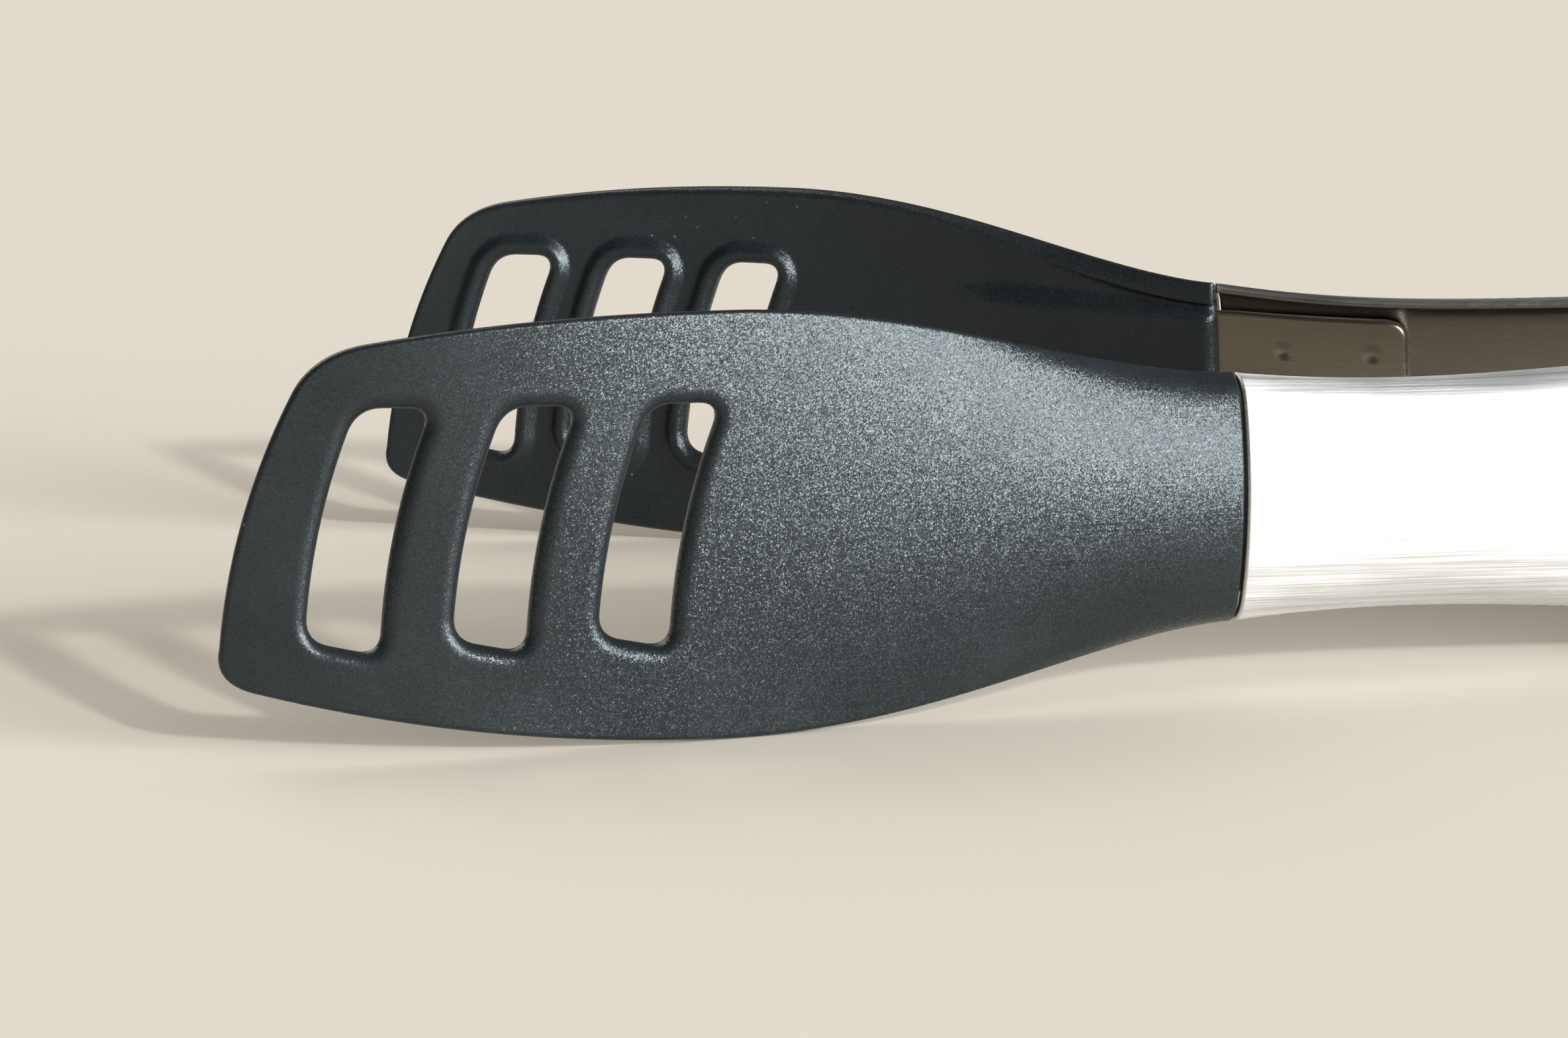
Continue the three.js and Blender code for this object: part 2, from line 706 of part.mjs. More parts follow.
function pullTab() {
  const half = tabHalfWidth - tabBevel;
  const near = tabStart + tabBevel;
  const far = tabStart + tabLength - tabHalfWidth;
  const shape = new THREE.Shape();
  const neckHalf = tabNeckShare * half;
  shape.moveTo(near, -neckHalf);
  shape.quadraticCurveTo(mix(near, far, 0.5), -neckHalf, far, -half);
  shape.absarc(far, 0, half, -90 * degree, 90 * degree, false);
  shape.quadraticCurveTo(mix(near, far, 0.5), neckHalf, near, neckHalf);
  const holeEnd = far;
  const holeStart = far - hangingHoleLength + 2 * hangingHoleRadius;
  const hole = capsule(
    new THREE.Vector2(holeStart, 0), new THREE.Vector2(holeEnd, 0), hangingHoleRadius + tabBevel,
  );
  shape.holes.push(new THREE.Path(hole.getPoints(6)));
  const geometry = new THREE.ExtrudeGeometry(shape, {
    depth: tabThickness - 2 * tabBevel,
    bevelThickness: tabBevel,
    bevelSize: tabBevel,
    bevelSegments: 2,
    curveSegments: 6,
  });
  geometry.translate(0, 0, tabBevel - tabThickness / 2);
  const pocketHalf = tubeRadius + slideGap + stemRim - stemShoulder + seatGap;
  const pocket = new THREE.BoxGeometry(stemInTab + 2, 2 * pocketHalf, stemThickness + 2 * seatGap);
  pocket.translate(tabStart + (stemInTab + 2) / 2 - 2 + seatGap, 0, 0);
  return cut(solid(geometry), [solid(pocket)]);
}

// Assembly

function named(name, body, kind) {
  const mesh = new THREE.Mesh(geometryOf(body), material(kind));
  mesh.name = name;
  return mesh;
}

// Mirror image of a mesh through the hinge axis' plane, with its faces still pointing out.
function mirrored(mesh) {
  mesh.geometry.scale(1, 1, -1);
  const index = mesh.geometry.getIndex();
  for (let i = 0; i < index.count; i += 3) {
    const first = index.getX(i);
    index.setX(i, index.getX(i + 1));
    index.setX(i + 1, first);
  }
  mesh.geometry.computeVertexNormals();
  return mesh;
}

// One arm with all it carries. The rear one is drawn directly and the front one is its mirror image.
function armAssembly(name, side, hingeWidth) {
  const pieces = [
    named(`${name}_arm`, arm(hingeWidth), 'steel'),
    named(`${name}_insert`, insert(), 'steel'),
    named(`${name}_head`, head(), 'nylon'),
    named(`${name}_grip`, grip(hingeWidth), 'elastomer'),
    named(`${name}_grip_liner`, liner(hingeWidth), 'nylon'),
  ];
  const angle = openAngle * degree;
  const group = new THREE.Group();
  const along = new THREE.Vector3(-Math.cos(angle), side * Math.sin(angle), 0);
  const up = new THREE.Vector3(0, 0, 1);
  group.setRotationFromMatrix(new THREE.Matrix4().makeBasis(along, up, along.clone().cross(up)));
  group.add(...(side < 0 ? pieces.map(mirrored) : pieces));
  return group;
}

function ringPiece(name, inner, outer, from, to, kind) {
  return named(name, ring(inner, outer, from, to), kind);
}

function hingeAndLock() {
  const group = new THREE.Group();
  const washerInner = pinRadius + runningGap;
  const washerTop = washerBase + washerThickness;
  const lockPinMesh = named('lock_pin', lockPin(), 'springSteel');
  lockPinMesh.position.x = lockedReach - lockTravel;
  group.add(
    named('hinge_pin', hingePin(), 'steel'),
    ringPiece('hinge_washer_upper', washerInner, washerRadius, washerBase, washerTop, 'steel'),
    ringPiece('hinge_washer_lower', washerInner, washerRadius, -washerTop, -washerBase, 'steel'),
    ringPiece('spacer_tube', washerInner, tubeRadius, seatGap - insideHalfWidth, insideHalfWidth - seatGap,
      'steel'),
    named('torsion_spring', spring(), 'springSteel'),
    named('lock_stem', stem(), 'steel'),
    lockPinMesh,
    named('pull_tab', pullTab(), 'nylon'),
  );
  return group;
}

// At rest the tongs lie on the lower edges of both heads and on the lower end of the hinge pin.
function restTilt() {
  const angle = openAngle * degree;
  const back = hingeOffset + headRise(neckLength);
  const alongHead = (armLength + neckLength) * Math.cos(angle) - back * Math.sin(angle);
  return Math.atan((headHalfWidth - pinTop) / (alongHead + 0.7 * pinHeadRadius));
}

const tongs = new THREE.Group();
tongs.add(
  armAssembly('front', -1, hingeHalfWidth),
  armAssembly('rear', 1, rearHalfWidth),
  hingeAndLock(),
);
tongs.rotation.y = restTilt();

const object = new THREE.Group();
object.add(tongs);
const bounds = new THREE.Box3().setFromObject(object, true);
tongs.position.set(-(bounds.min.x + bounds.max.x) / 2, 0, -bounds.min.z);

export default object;
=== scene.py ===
import json
import math
import bpy
import numpy as np
from mathutils import Matrix, Vector
from mathutils.geometry import delaunay_2d_cdt


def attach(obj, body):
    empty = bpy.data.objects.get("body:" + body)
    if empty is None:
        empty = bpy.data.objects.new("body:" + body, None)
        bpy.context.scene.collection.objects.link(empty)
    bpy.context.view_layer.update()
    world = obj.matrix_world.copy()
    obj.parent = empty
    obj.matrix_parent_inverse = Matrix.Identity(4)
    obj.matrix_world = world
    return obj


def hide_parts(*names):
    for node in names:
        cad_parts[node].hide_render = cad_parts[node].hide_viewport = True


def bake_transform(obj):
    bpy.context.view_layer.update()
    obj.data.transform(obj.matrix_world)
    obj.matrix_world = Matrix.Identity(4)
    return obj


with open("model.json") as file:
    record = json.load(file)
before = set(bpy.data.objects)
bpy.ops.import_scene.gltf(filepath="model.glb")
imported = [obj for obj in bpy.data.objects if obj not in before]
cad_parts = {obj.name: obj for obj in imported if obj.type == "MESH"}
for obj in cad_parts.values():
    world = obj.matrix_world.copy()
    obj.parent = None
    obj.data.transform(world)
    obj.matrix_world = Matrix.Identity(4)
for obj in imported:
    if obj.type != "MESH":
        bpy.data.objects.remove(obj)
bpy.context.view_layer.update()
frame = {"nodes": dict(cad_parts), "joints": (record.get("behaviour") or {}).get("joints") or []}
print("frame loaded:", len(frame["nodes"]), "nodes")

mm = 0.001  # shapes are in millimetres, finishes, floor and lamps in metres

# the tongs' own frame: origin on the hinge axis, x towards the pull tab, z along the hinge axis
joints = {joint["name"]: joint for joint in frame["joints"]}
pivot = np.array(joints["front_arm_swing"]["pos_m"])
hingeAxis = np.array(joints["rear_arm_swing"]["axis"])
slideAxis = np.array(joints["lock_slide"]["axis"])
tongsAxes = np.stack([slideAxis, np.cross(hingeAxis, slideAxis), hingeAxis])
sides = {"front": -1, "rear": 1}


def toPart(points):
    # from the tongs' frame in millimetres to the part's frame in metres
    return pivot + points @ tongsAxes * mm


def ease(value, start, stop):
    # 0 before start, 1 after stop, and 3s^2 - 2s^3 between them
    share = np.clip((value - start) / (stop - start), 0, 1)
    return share * share * (3 - 2 * share)


def mix(start, stop, share):
    # straight on from start, at a share of 0, to stop at 1
    return start + (stop - start) * share


def bezier(*points, steps=24):
    # points on a curve through the first and last point, drawn towards those between
    share = np.linspace(0, 1, steps)[:, None]
    layers = [np.array(point, float) * np.ones((steps, 1)) for point in points]
    while len(layers) > 1:
        layers = [mix(a, b, share) for a, b in zip(layers, layers[1:])]
    return layers[0]


def arc(centre, radius, start, stop, steps=24):
    # even steps from one angle in degrees to another
    angle = np.radians(np.linspace(start, stop, steps))
    return np.stack([centre[0] + radius * np.cos(angle), centre[1] + radius * np.sin(angle)], axis=-1)


def line(*points):
    # corners joined by straight lines
    return np.array(points, float)


def capsule(start, stop, radius):
    # two half circles and the straight sides that join them, laid along the first axis
    return [arc(start, radius, 90, 270), line((start[0], -radius), (stop[0], -radius)),
            arc(stop, radius, -90, 90), line((stop[0], radius), (start[0], radius))]


# how finely sheets are meshed, and how their edges are rounded
sheets = {
    "closest": 0.15,  # share of the spacing within which a loop's next point is dropped
    "holeSpacing": 0.6,  # share of the outline's spacing
    "roundSteps": 7,
    "support": 0.25,  # share of the edge radius between the rounding and the ring that supports it
    "collarRings": 5,
    "clearance": 0.55,  # share of the grid's step that the grid keeps from the rings
    "sharpTurn": 0.55,  # sine of the turn from which a corner is sharp
    "sharpRound": 0.1,  # largest edge radius at a sharp corner
    "sharpGrowth": 0.5,  # what that limit gains per millimetre away from it
    "mergeWithin": 1e-7,  # distance at which the triangulation takes two points for one
    "atOnce": 2000,  # points that are measured against a loop at a time, to spare memory
}


def evenLoop(stretches, spacing):
    # a closed loop with even steps inside each stretch, so that the corners between them stay
    pieces = []
    for stretch in stretches:
        reached = np.concatenate([[0], np.cumsum(np.linalg.norm(np.diff(stretch, axis=0), axis=1))])
        count = max(int(round(reached[-1] / spacing)), 1)
        at = np.linspace(0, reached[-1], count + 1)[:-1]
        pieces.append(np.stack([np.interp(at, reached, stretch[:, k]) for k in (0, 1)], axis=-1))
    loop = np.concatenate(pieces)
    gap = np.linalg.norm(loop - np.roll(loop, 1, axis=0), axis=1)
    return loop[gap > sheets["closest"] * spacing]


def signedArea(loop):
    # positive where the loop runs anticlockwise, as outlines do and holes don't
    after = np.roll(loop, -1, axis=0)
    return 0.5 * np.sum(loop[:, 0] * after[:, 1] - after[:, 0] * loop[:, 1])


def insideLoop(points, loop):
    # even-odd count of the loop's edges to the right of each point
    after = np.roll(loop, -1, axis=0)
    rise = after[:, 1] - loop[:, 1]
    rise[rise == 0] = 1  # a level edge is never crossed, so any number but 0 will do
    inside = []
    for part in np.array_split(points, len(points) // sheets["atOnce"] + 1):
        x, y = part[:, :1], part[:, 1:]
        crosses = (loop[:, 1] > y) != (after[:, 1] > y)
        edge = loop[:, 0] + (y - loop[:, 1]) * (after[:, 0] - loop[:, 0]) / rise
        inside.append((crosses & (x < edge)).sum(axis=1))
    return np.concatenate(inside) % 2 == 1


def distanceTo(points, others):
    # from each point to the nearest of the others
    return np.concatenate([
        np.linalg.norm(part[:, None, :] - others[None, :, :], axis=2).min(axis=1)
        for part in np.array_split(points, len(points) // sheets["atOnce"] + 1)
    ])


def sheetFace(loops, radii, reaches, collars, grid):
    # one face in plan, and how far each point is sunk below it. At the turn t of its rounding, an edge's ring
    # lies reach * radius * (1 - cos t) inside the edge and radius * (1 - sin t) below the face. Then come a
    # support ring and even rings as far as the edge's collar, and a grid of triangles fills the middle
    turns = np.linspace(0, math.pi / 2, sheets["roundSteps"] + 1)
    points, sunk, polygons, borders, firsts = [], [], [], [], []
    count = 0
    for loop, radius, reach, collar in zip(loops, radii, reaches, collars):
        heading = np.roll(loop, -1, axis=0) - np.roll(loop, 1, axis=0)
        heading = heading / np.linalg.norm(heading, axis=1, keepdims=True)
        inward = np.stack([-heading[:, 1], heading[:, 0]], axis=-1)
        held = (1 + sheets["support"]) * radius * reach
        shares = np.linspace(0, 1, sheets["collarRings"] + 1 if collar else 1)[:, None]
        offset = np.vstack([radius * reach * (1 - np.cos(turns))[:, None], mix(held, collar, shares)])
        depth = np.vstack([radius * (1 - np.sin(turns))[:, None], 0 * radius * shares])
        size, strips = len(loop), len(offset) - 1
        here = count + np.arange(strips)[:, None] * size + np.arange(size)
        after = count + np.arange(strips)[:, None] * size + (np.arange(size) + 1) % size
        polygons.append(np.stack([here, after, after + size, here + size], axis=-1).reshape(-1, 4))
        points.append((loop + inward * offset[:, :, None]).reshape(-1, 2))
        sunk.append(depth.ravel())
        borders.append(count + strips * size + np.arange(size))
        firsts.append(count)
        count += len(offset) * size
    points = np.concatenate(points)
    rims = [points[border] for border in borders]
    low, high = rims[0].min(axis=0), rims[0].max(axis=0)
    rows, columns = (np.arange(low[k], high[k], grid[k]) for k in (0, 1))
    middle = np.stack(np.meshgrid(rows, columns, indexing="ij"), axis=-1)
    middle[:, 1::2, 0] += 0.5 * grid[0]
    middle = middle.reshape(-1, 2)
    away = distanceTo(middle, np.concatenate(rims)) > sheets["clearance"] * min(grid)
    keep = insideLoop(middle, rims[0]) & away
    for rim in rims[1:]:
        keep &= ~insideLoop(middle, rim)
    middle = middle[keep]
    flat = np.concatenate(rims + [middle])
    source = np.concatenate(borders + [count + np.arange(len(middle))])
    starts = np.cumsum([0] + [len(rim) for rim in rims])
    edges = [np.stack([first + np.arange(len(rim)), first + (np.arange(len(rim)) + 1) % len(rim)], axis=-1)
             for first, rim in zip(starts, rims)]
    corners = [Vector(point) for point in flat.tolist()]
    filled = delaunay_2d_cdt(corners, np.concatenate(edges).tolist(), [], 0, sheets["mergeWithin"])
    origin = np.array([found[0] for found in filled[3]])
    triangles = origin[np.array(filled[2])]
    centres = flat[triangles].mean(axis=1)
    keep = insideLoop(centres, rims[0])
    for rim in rims[1:]:
        keep &= ~insideLoop(centres, rim)
    polygons = np.concatenate(polygons).tolist() + source[triangles[keep]].tolist()
    return np.concatenate([points, middle]), np.concatenate(sunk + [np.zeros(len(middle))]), polygons, firsts


def sheetPart(outline, holes, place, insets, rounds, side="rear", grid=(1.6, 0.9), spacing=0.8, holeReach=1,
              collar=0):
    # a sheet drawn in plan. place(plan, inset) puts a point in the tongs' frame, insets(plan) gives the inset
    # of the outer and inner face, and rounds(loop) the edge radius on each of them. A hole's rounding reaches
    # holeReach times as far over the face as it goes down, and a collar round it has fine rings
    holeLoops = [evenLoop(hole, sheets["holeSpacing"] * spacing) for hole in holes]
    loops = [evenLoop(outline, spacing)] + holeLoops
    loops = [loop if (signedArea(loop) > 0) == (k == 0) else loop[::-1] for k, loop in enumerate(loops)]
    radii = [rounds(loop) for loop in loops]
    for loop, radius in zip(loops, radii):
        before, after = loop - np.roll(loop, 1, axis=0), np.roll(loop, -1, axis=0) - loop
        turned = np.abs(before[:, 0] * after[:, 1] - before[:, 1] * after[:, 0])
        sizes = np.linalg.norm(before, axis=1) * np.linalg.norm(after, axis=1)
        sharp = loop[turned > sheets["sharpTurn"] * sizes]
        if len(sharp):
            room = sheets["sharpRound"] + sheets["sharpGrowth"] * distanceTo(loop, sharp)
            radius[:] = [np.minimum(each, room) for each in radius]
    reaches, collars = [1] + [holeReach] * len(holes), [0] + [collar] * len(holes)
    vertices, polygons, plans, total, faces = [], [], [], 0, []
    for face in (0, 1):
        faceRadii = [radius[face] for radius in radii]
        plan, sunk, polygon, firsts = sheetFace(loops, faceRadii, reaches, collars, grid)
        inset = insets(plan)[face] + (sunk if face == 0 else -sunk)
        vertices.append(place(plan, inset))
        plans.append(np.column_stack([plan, np.full(len(plan), face)]))
        polygons += [[total + v for v in (p if face == 0 else p[::-1])] for p in polygon]
        faces.append(total)
        total += len(plan)
    for loop, first in zip(loops, firsts):
        size = len(loop)
        here, after = first + np.arange(size), first + (np.arange(size) + 1) % size
        polygons += np.stack([here, here + faces[1], after + faces[1], after], axis=-1).tolist()
    if side == "front":
        polygons = [polygon[::-1] for polygon in polygons]
    return np.concatenate(vertices), polygons, np.concatenate(plans)


def evenInsets(outer, thickness):
    # a sheet of one thickness, with its outer face at one inset
    return lambda plan: (outer + 0 * plan[:, 0], outer + thickness + 0 * plan[:, 0])


def evenRounds(edge, hole=0):
    # one edge radius round the outline and one round the holes, the same on both faces
    def rounds(loop):
        return [np.full(len(loop), edge if signedArea(loop) > 0 else hole) for face in (0, 1)]
    return rounds


def wrappedPart(rings, looped=False):
    # rings of points joined side by side: a loop of rings, or a run of rings closed by a point at each end
    count, size = rings.shape[:2]
    here = np.arange(count)[:, None] * size + np.arange(size)
    after = np.arange(count)[:, None] * size + (np.arange(size) + 1) % size
    onward = np.roll(np.arange(count), -1)
    quads = np.stack([here, after, after[onward], here[onward]], axis=-1)
    along = np.repeat(np.arange(count)[:, None], size, axis=1)
    around = np.repeat(np.arange(size)[None, :], count, axis=0)
    plan = np.stack([along, around, 0 * around], axis=-1).reshape(-1, 3).astype(float)
    vertices = rings.reshape(-1, 3)
    polygons = quads.reshape(-1, 4).tolist() if looped else quads[:-1].reshape(-1, 4).tolist()
    if not looped:
        vertices = np.vstack([vertices, rings[0].mean(axis=0), rings[-1].mean(axis=0)])
        plan = np.vstack([plan, [0, 0, 0], [count, 0, 0]])
        pole = count * size
        polygons += np.stack([after[0], here[0], np.full(size, pole)], axis=-1).tolist()
        polygons += np.stack([here[-1], after[-1], np.full(size, pole + 1)], axis=-1).tolist()
    return vertices, polygons, plan


def turnedPart(profile, place, looped=False, steps=48):
    # a profile of (radius, height) turned about an axis; place(x, y, height) puts it in the tongs' frame
    profile = np.asarray(profile, float)
    angle = np.linspace(0, 2 * math.pi, steps, endpoint=False)
    x = profile[:, :1] * np.cos(angle)
    y = profile[:, :1] * np.sin(angle)
    rings = place(x, y, profile[:, 1:] * np.ones_like(angle))
    return wrappedPart(rings, looped)


nearAxis = 0.01  # the radius at which a turned profile starts or ends on its axis


def roundedProfile(corners, radius, steps=5):
    # the corners of a profile, each rounded by at most nearly half of its sides; the first and last stay
    out = [np.array(corners[0], float)]
    for before, corner, after in zip(corners, corners[1:], corners[2:]):
        before, corner, after = (np.array(p, float) for p in (before, corner, after))
        back, on = before - corner, after - corner
        reach = min(radius, 0.49 * np.linalg.norm(back), 0.49 * np.linalg.norm(on))
        start = corner + back / np.linalg.norm(back) * reach
        stop = corner + on / np.linalg.norm(on) * reach
        out += list(bezier(start, corner, stop, steps=steps))
    return np.array(out + [np.array(corners[-1], float)])


def mirroredProfile(half, radius):
    # the upper half of a profile, rounded, and its mirror image below
    upper = roundedProfile(half, radius)
    return np.vstack([upper, upper[-2::-1] * [1, -1]])[::-1]


def addPiece(name, node, body, finish, parts, bend=None):
    # each part brings its points, its faces and its plan: two coordinates on the surface, and 1 on an inner
    # face. A piece given a bend is baked where it stands and joins no body; the bend's body and two points
    # are not used
    vertices, polygons, plans, first = [], [], [], 0
    for points, faces, plan in parts:
        vertices.append(toPart(points))
        polygons += [[first + v for v in face] for face in faces]
        plans.append(plan)
        first += len(points)
    mesh = bpy.data.meshes.new(name)
    mesh.from_pydata(np.concatenate(vertices).tolist(), [], polygons)
    layer = mesh.uv_layers.new(name="surface")
    corner = np.empty(len(mesh.loops), np.int32)
    mesh.loops.foreach_get("vertex_index", corner)
    plan = np.concatenate(plans)
    layer.data.foreach_set("uv", (plan[corner, :2] * mm).astype(np.float32).ravel())
    inner = mesh.attributes.new("inner", "FLOAT", "POINT")
    inner.data.foreach_set("value", plan[:, 2].astype(np.float32))
    mesh.shade_smooth()
    piece = bpy.data.objects.new(name, mesh)
    bpy.context.scene.collection.objects.link(piece)
    mesh.materials.append(finish)
    if bend:
        tuple(toPart(bend[1]))
        tuple(toPart(bend[2]))
        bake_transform(piece)
    else:
        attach(piece, body)
    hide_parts(node)
    print("made", name, len(polygons), "faces")


def sectionSpans(section):
    # the crown's radius, and the lengths round half of the crown and round one rolled edge
    roll = section["roll"]
    shortfall = section["halfWidth"] - roll * (np.sin(section["turn"]) - np.sin(section["crown"]))
    crownRadius = shortfall / np.sin(section["crown"])
    return crownRadius, crownRadius * section["crown"], roll * (section["turn"] - section["crown"])


def sectionPoint(section, developed, inset=0):
    # crowned back, rolled edge, straight flange: developed is the distance round from the middle of the back,
    # inset goes inward from the face, square to it
    crownRadius, crownLength, rollLength = sectionSpans(section)
    roll = section["roll"]
    length = np.abs(developed)
    crownTurn = np.minimum(length, crownLength) / crownRadius
    angle = crownTurn + np.clip(length - crownLength, 0, rollLength) / roll
    straight = np.maximum(length - crownLength - rollLength, 0)
    across = crownRadius * np.sin(crownTurn) + roll * (np.sin(angle) - np.sin(crownTurn)) \
        + straight * np.cos(angle)
    drop = crownRadius * (1 - np.cos(crownTurn)) + roll * (np.cos(crownTurn) - np.cos(angle)) \
        + straight * np.sin(angle)
    return np.sign(developed) * (across - inset * np.sin(angle)), -drop - inset * np.cos(angle)


def developedWhere(section, measure, target, farthest=70, halvings=26):
    # distance round the section at which its measure, which grows outward, reaches the target, by halving
    low = np.zeros_like(target, dtype=float)
    high = low + farthest
    for _ in range(halvings):
        middle = (low + high) / 2
        short = measure(*sectionPoint(section, middle)) < target
        low, high = np.where(short, middle, low), np.where(short, high, middle)
    return low


def developedAtDepth(section, depth):
    # how far round the section lies a depth below the back
    return developedWhere(section, lambda across, out: -out, depth)


def developedAcross(section, across):
    # how far round the section lies a distance from its middle, with that distance's sign
    return np.sign(across) * developedWhere(section, lambda reached, out: reached, np.abs(across))


# along an arm, distances are measured from the hinge axis; the seam is where its head begins
arms = {
    "openAngle": 13.5,
    "length": 148.5,
    "hingeOffset": 13.5,
    "sheet": 1.2,
    "edgeRound": 0.45,
    "holeRound": 0.15,
    "seamHalfWidth": 14,
    "waistHalfWidth": 12.85,
    "waistFromSeam": 20,
    "handleHalfWidth": 14.8,
    "handleFromSeam": 70,
    "hingeHalfWidth": {"front": 14.5, "rear": 13.0},
    "hingeFlatLength": 30,
    "seamRoll": 4.5,
    "hingeRoll": 2.5,
    "seamCrown": math.radians(22),
    "hingeCrown": math.radians(7),
    "seamFlange": 6.2,
    "handleFlange": 9.6,
    "flangeControl": 96,
    "earFlange": 10.8,
    "earStart": 39,
    "earRadius": 8.2,
    "earReach": 18.3,
    "earTailTop": 3,
    "earTailFoot": -5,
    "earThroat": (24, -1),
    "earLead": 1.6,
    "earHeel": 0.93,
    "backOverhang": 6,
    "pinHole": 2.55,
    "seamGap": 0.3,
}


def armToTongs(side, along, across, out):
    # a point along the arm from the hinge axis, across it, and outward from that axis
    angle = math.radians(arms["openAngle"])
    x = -along * math.cos(angle) + out * math.sin(angle)
    y = sides[side] * (along * math.sin(angle) + out * math.cos(angle))
    return np.stack(np.broadcast_arrays(x, y, across), axis=-1)


def armSection(side, along):
    # half widths: from seam to waist by a square law, then eased to the handle's and to the hinge's. The
    # rolls tighten and the crown flattens towards the hinge
    fromSeam = arms["length"] - along
    narrowing = arms["seamHalfWidth"] - arms["waistHalfWidth"]
    flared = arms["waistHalfWidth"] + narrowing * np.maximum(1 - fromSeam / arms["waistFromSeam"], 0) ** 2
    handle = mix(arms["waistHalfWidth"], arms["handleHalfWidth"],
                 ease(fromSeam, arms["waistFromSeam"], arms["handleFromSeam"]))
    beyondHinge = ease(along, arms["hingeFlatLength"], 2 * arms["hingeFlatLength"])
    handle = mix(arms["hingeHalfWidth"][side], handle, beyondHinge)
    share = ease(along, arms["hingeFlatLength"], arms["length"] - arms["waistFromSeam"])
    return {
        "halfWidth": np.where(fromSeam < arms["waistFromSeam"], flared, handle),
        "roll": mix(arms["hingeRoll"], arms["seamRoll"], share),
        "crown": mix(arms["hingeCrown"], arms["seamCrown"], share),
        "turn": math.pi / 2 + 0 * share,
    }


def onArm(side):
    # a plan of distances along the arm and round its section
    def place(plan, inset):
        across, out = sectionPoint(armSection(side, plan[:, 0]), plan[:, 1], inset)
        return armToTongs(side, plan[:, 0], across, arms["hingeOffset"] + out)
    return place


def sideViewToPlan(side, stretch):
    # a curve seen from the arm's side, as along and outward, laid on its developed upper edge
    depth = arms["hingeOffset"] - stretch[:, 1]
    return np.stack([stretch[:, 0], developedAtDepth(armSection(side, stretch[:, 0]), depth)], axis=-1)


def mirroredPlan(stretches):
    # mirrored across the middle, and run the other way
    return [stretch[::-1] * [1, -1] for stretch in reversed(stretches)]


def armOutline(side):
    # the upper edge runs from the seam along the rolled flange, down the ear's throat, round the ear and its
    # tail, and up to the back; the lower edge mirrors it
    seam = arms["length"] - arms["seamGap"] / 2
    offset, radius, reach = arms["hingeOffset"], arms["earRadius"], arms["earReach"]
    foot = offset - arms["earFlange"]
    heel = (-radius, -arms["earHeel"] * radius)
    tail = (-arms["backOverhang"], offset - arms["sheet"])
    upper = [sideViewToPlan(side, stretch) for stretch in (
        bezier((seam, offset - arms["seamFlange"]), (arms["flangeControl"], offset - arms["handleFlange"]),
               (arms["earStart"], foot), steps=60),
        bezier((arms["earStart"], foot), (arms["hingeFlatLength"], foot), arms["earThroat"]),
        bezier(arms["earThroat"], (arms["earLead"] * radius, -radius), (0, -radius)),
        bezier((0, -radius), (-radius / 2, -radius), heel),
        bezier(heel, (-reach, arms["earTailFoot"]), (-reach, arms["earTailTop"])),
        bezier((-reach, arms["earTailTop"]), (-reach, offset - arms["earTailTop"]), tail),
    )]
    lower = mirroredPlan(upper)
    return upper + [line(upper[-1][-1], lower[0][0])] + lower + [line(lower[-1][-1], upper[0][0])]


# a flat stem on the spacer tube, its cross pin and the pull tab
lock = {
    "closedAngle": -2.5,
    "pinRadius": 1,
    "pinHead": (1.8, 0.8),
    "pinRound": 0.35,
    "seat": 0.3,
    "slide": 0.25,
    "lockedReach": 14.5,
    "travel": 6,
    "toothTip": 11.5,
    "stem": {"thickness": 1.6, "rim": 2.1, "shoulder": 2, "shoulderGap": 1, "taperLead": 1, "inTab": 9,
             "edgeRound": 0.2},
    "tab": {"start": 15, "length": 29, "halfWidth": 8.5, "thickness": 7, "neckShare": 0.72, "bevel": 1,
            "edgeRound": 1.5, "holeRound": 0.9, "corner": 2.6, "hole": 3.6, "holeLength": 11,
            "dish": {"depth": 0.35, "fromEnd": 7.5, "halfLength": 6, "halfWidth": 4.6, "flatShare": 0.55}},
}


def lockWindow(side):
    # two radial slots joined by a band, with a tooth between them
    half = lock["pinRadius"] + lock["slide"]
    near, far, tooth = lock["lockedReach"] - lock["travel"], lock["lockedReach"], lock["toothTip"]
    shut, opened = lock["closedAngle"], arms["openAngle"]
    lean = math.degrees(math.asin(half / tooth))

    def slotEnd(angle, reach, start, stop):
        centre = (reach * math.cos(math.radians(angle)), reach * math.sin(math.radians(angle)))
        return arc(centre, half, angle + start, angle + stop, steps=13)

    shutEnd, openEnd = slotEnd(shut, far, -90, 90), slotEnd(opened, far, -90, 90)
    openFoot, shutFoot = slotEnd(opened, near, 90, 180), slotEnd(shut, near, 180, 270)
    toothEdge = arc((0, 0), tooth, shut + lean, opened - lean, steps=5)
    foot = arc((0, 0), near - half, opened, shut, steps=8)
    stretches = [shutEnd, line(shutEnd[-1], toothEdge[0]), toothEdge, line(toothEdge[-1], openEnd[0]),
                 openEnd, line(openEnd[-1], openFoot[0]), openFoot, foot,
                 shutFoot, line(shutFoot[-1], shutEnd[0])]
    return [sideViewToPlan(side, stretch * [-1, 1]) for stretch in stretches]


def makeArm(side, finish):
    # one sheet, with a hole for the rivet and a window for the lock in each ear
    pinHole = [sideViewToPlan(side, arc((0, 0), arms["pinHole"], 0, 360, steps=40))]
    window = lockWindow(side)
    holes = [pinHole, mirroredPlan(pinHole), window, mirroredPlan(window)]
    sheet = sheetPart(armOutline(side), holes, onArm(side), evenInsets(0, arms["sheet"]),
                      evenRounds(arms["edgeRound"], arms["holeRound"]), side, grid=(2.0, 0.8))
    addPiece(side + "ArmSheet", side + "_arm", side + "_side", finish, [sheet])


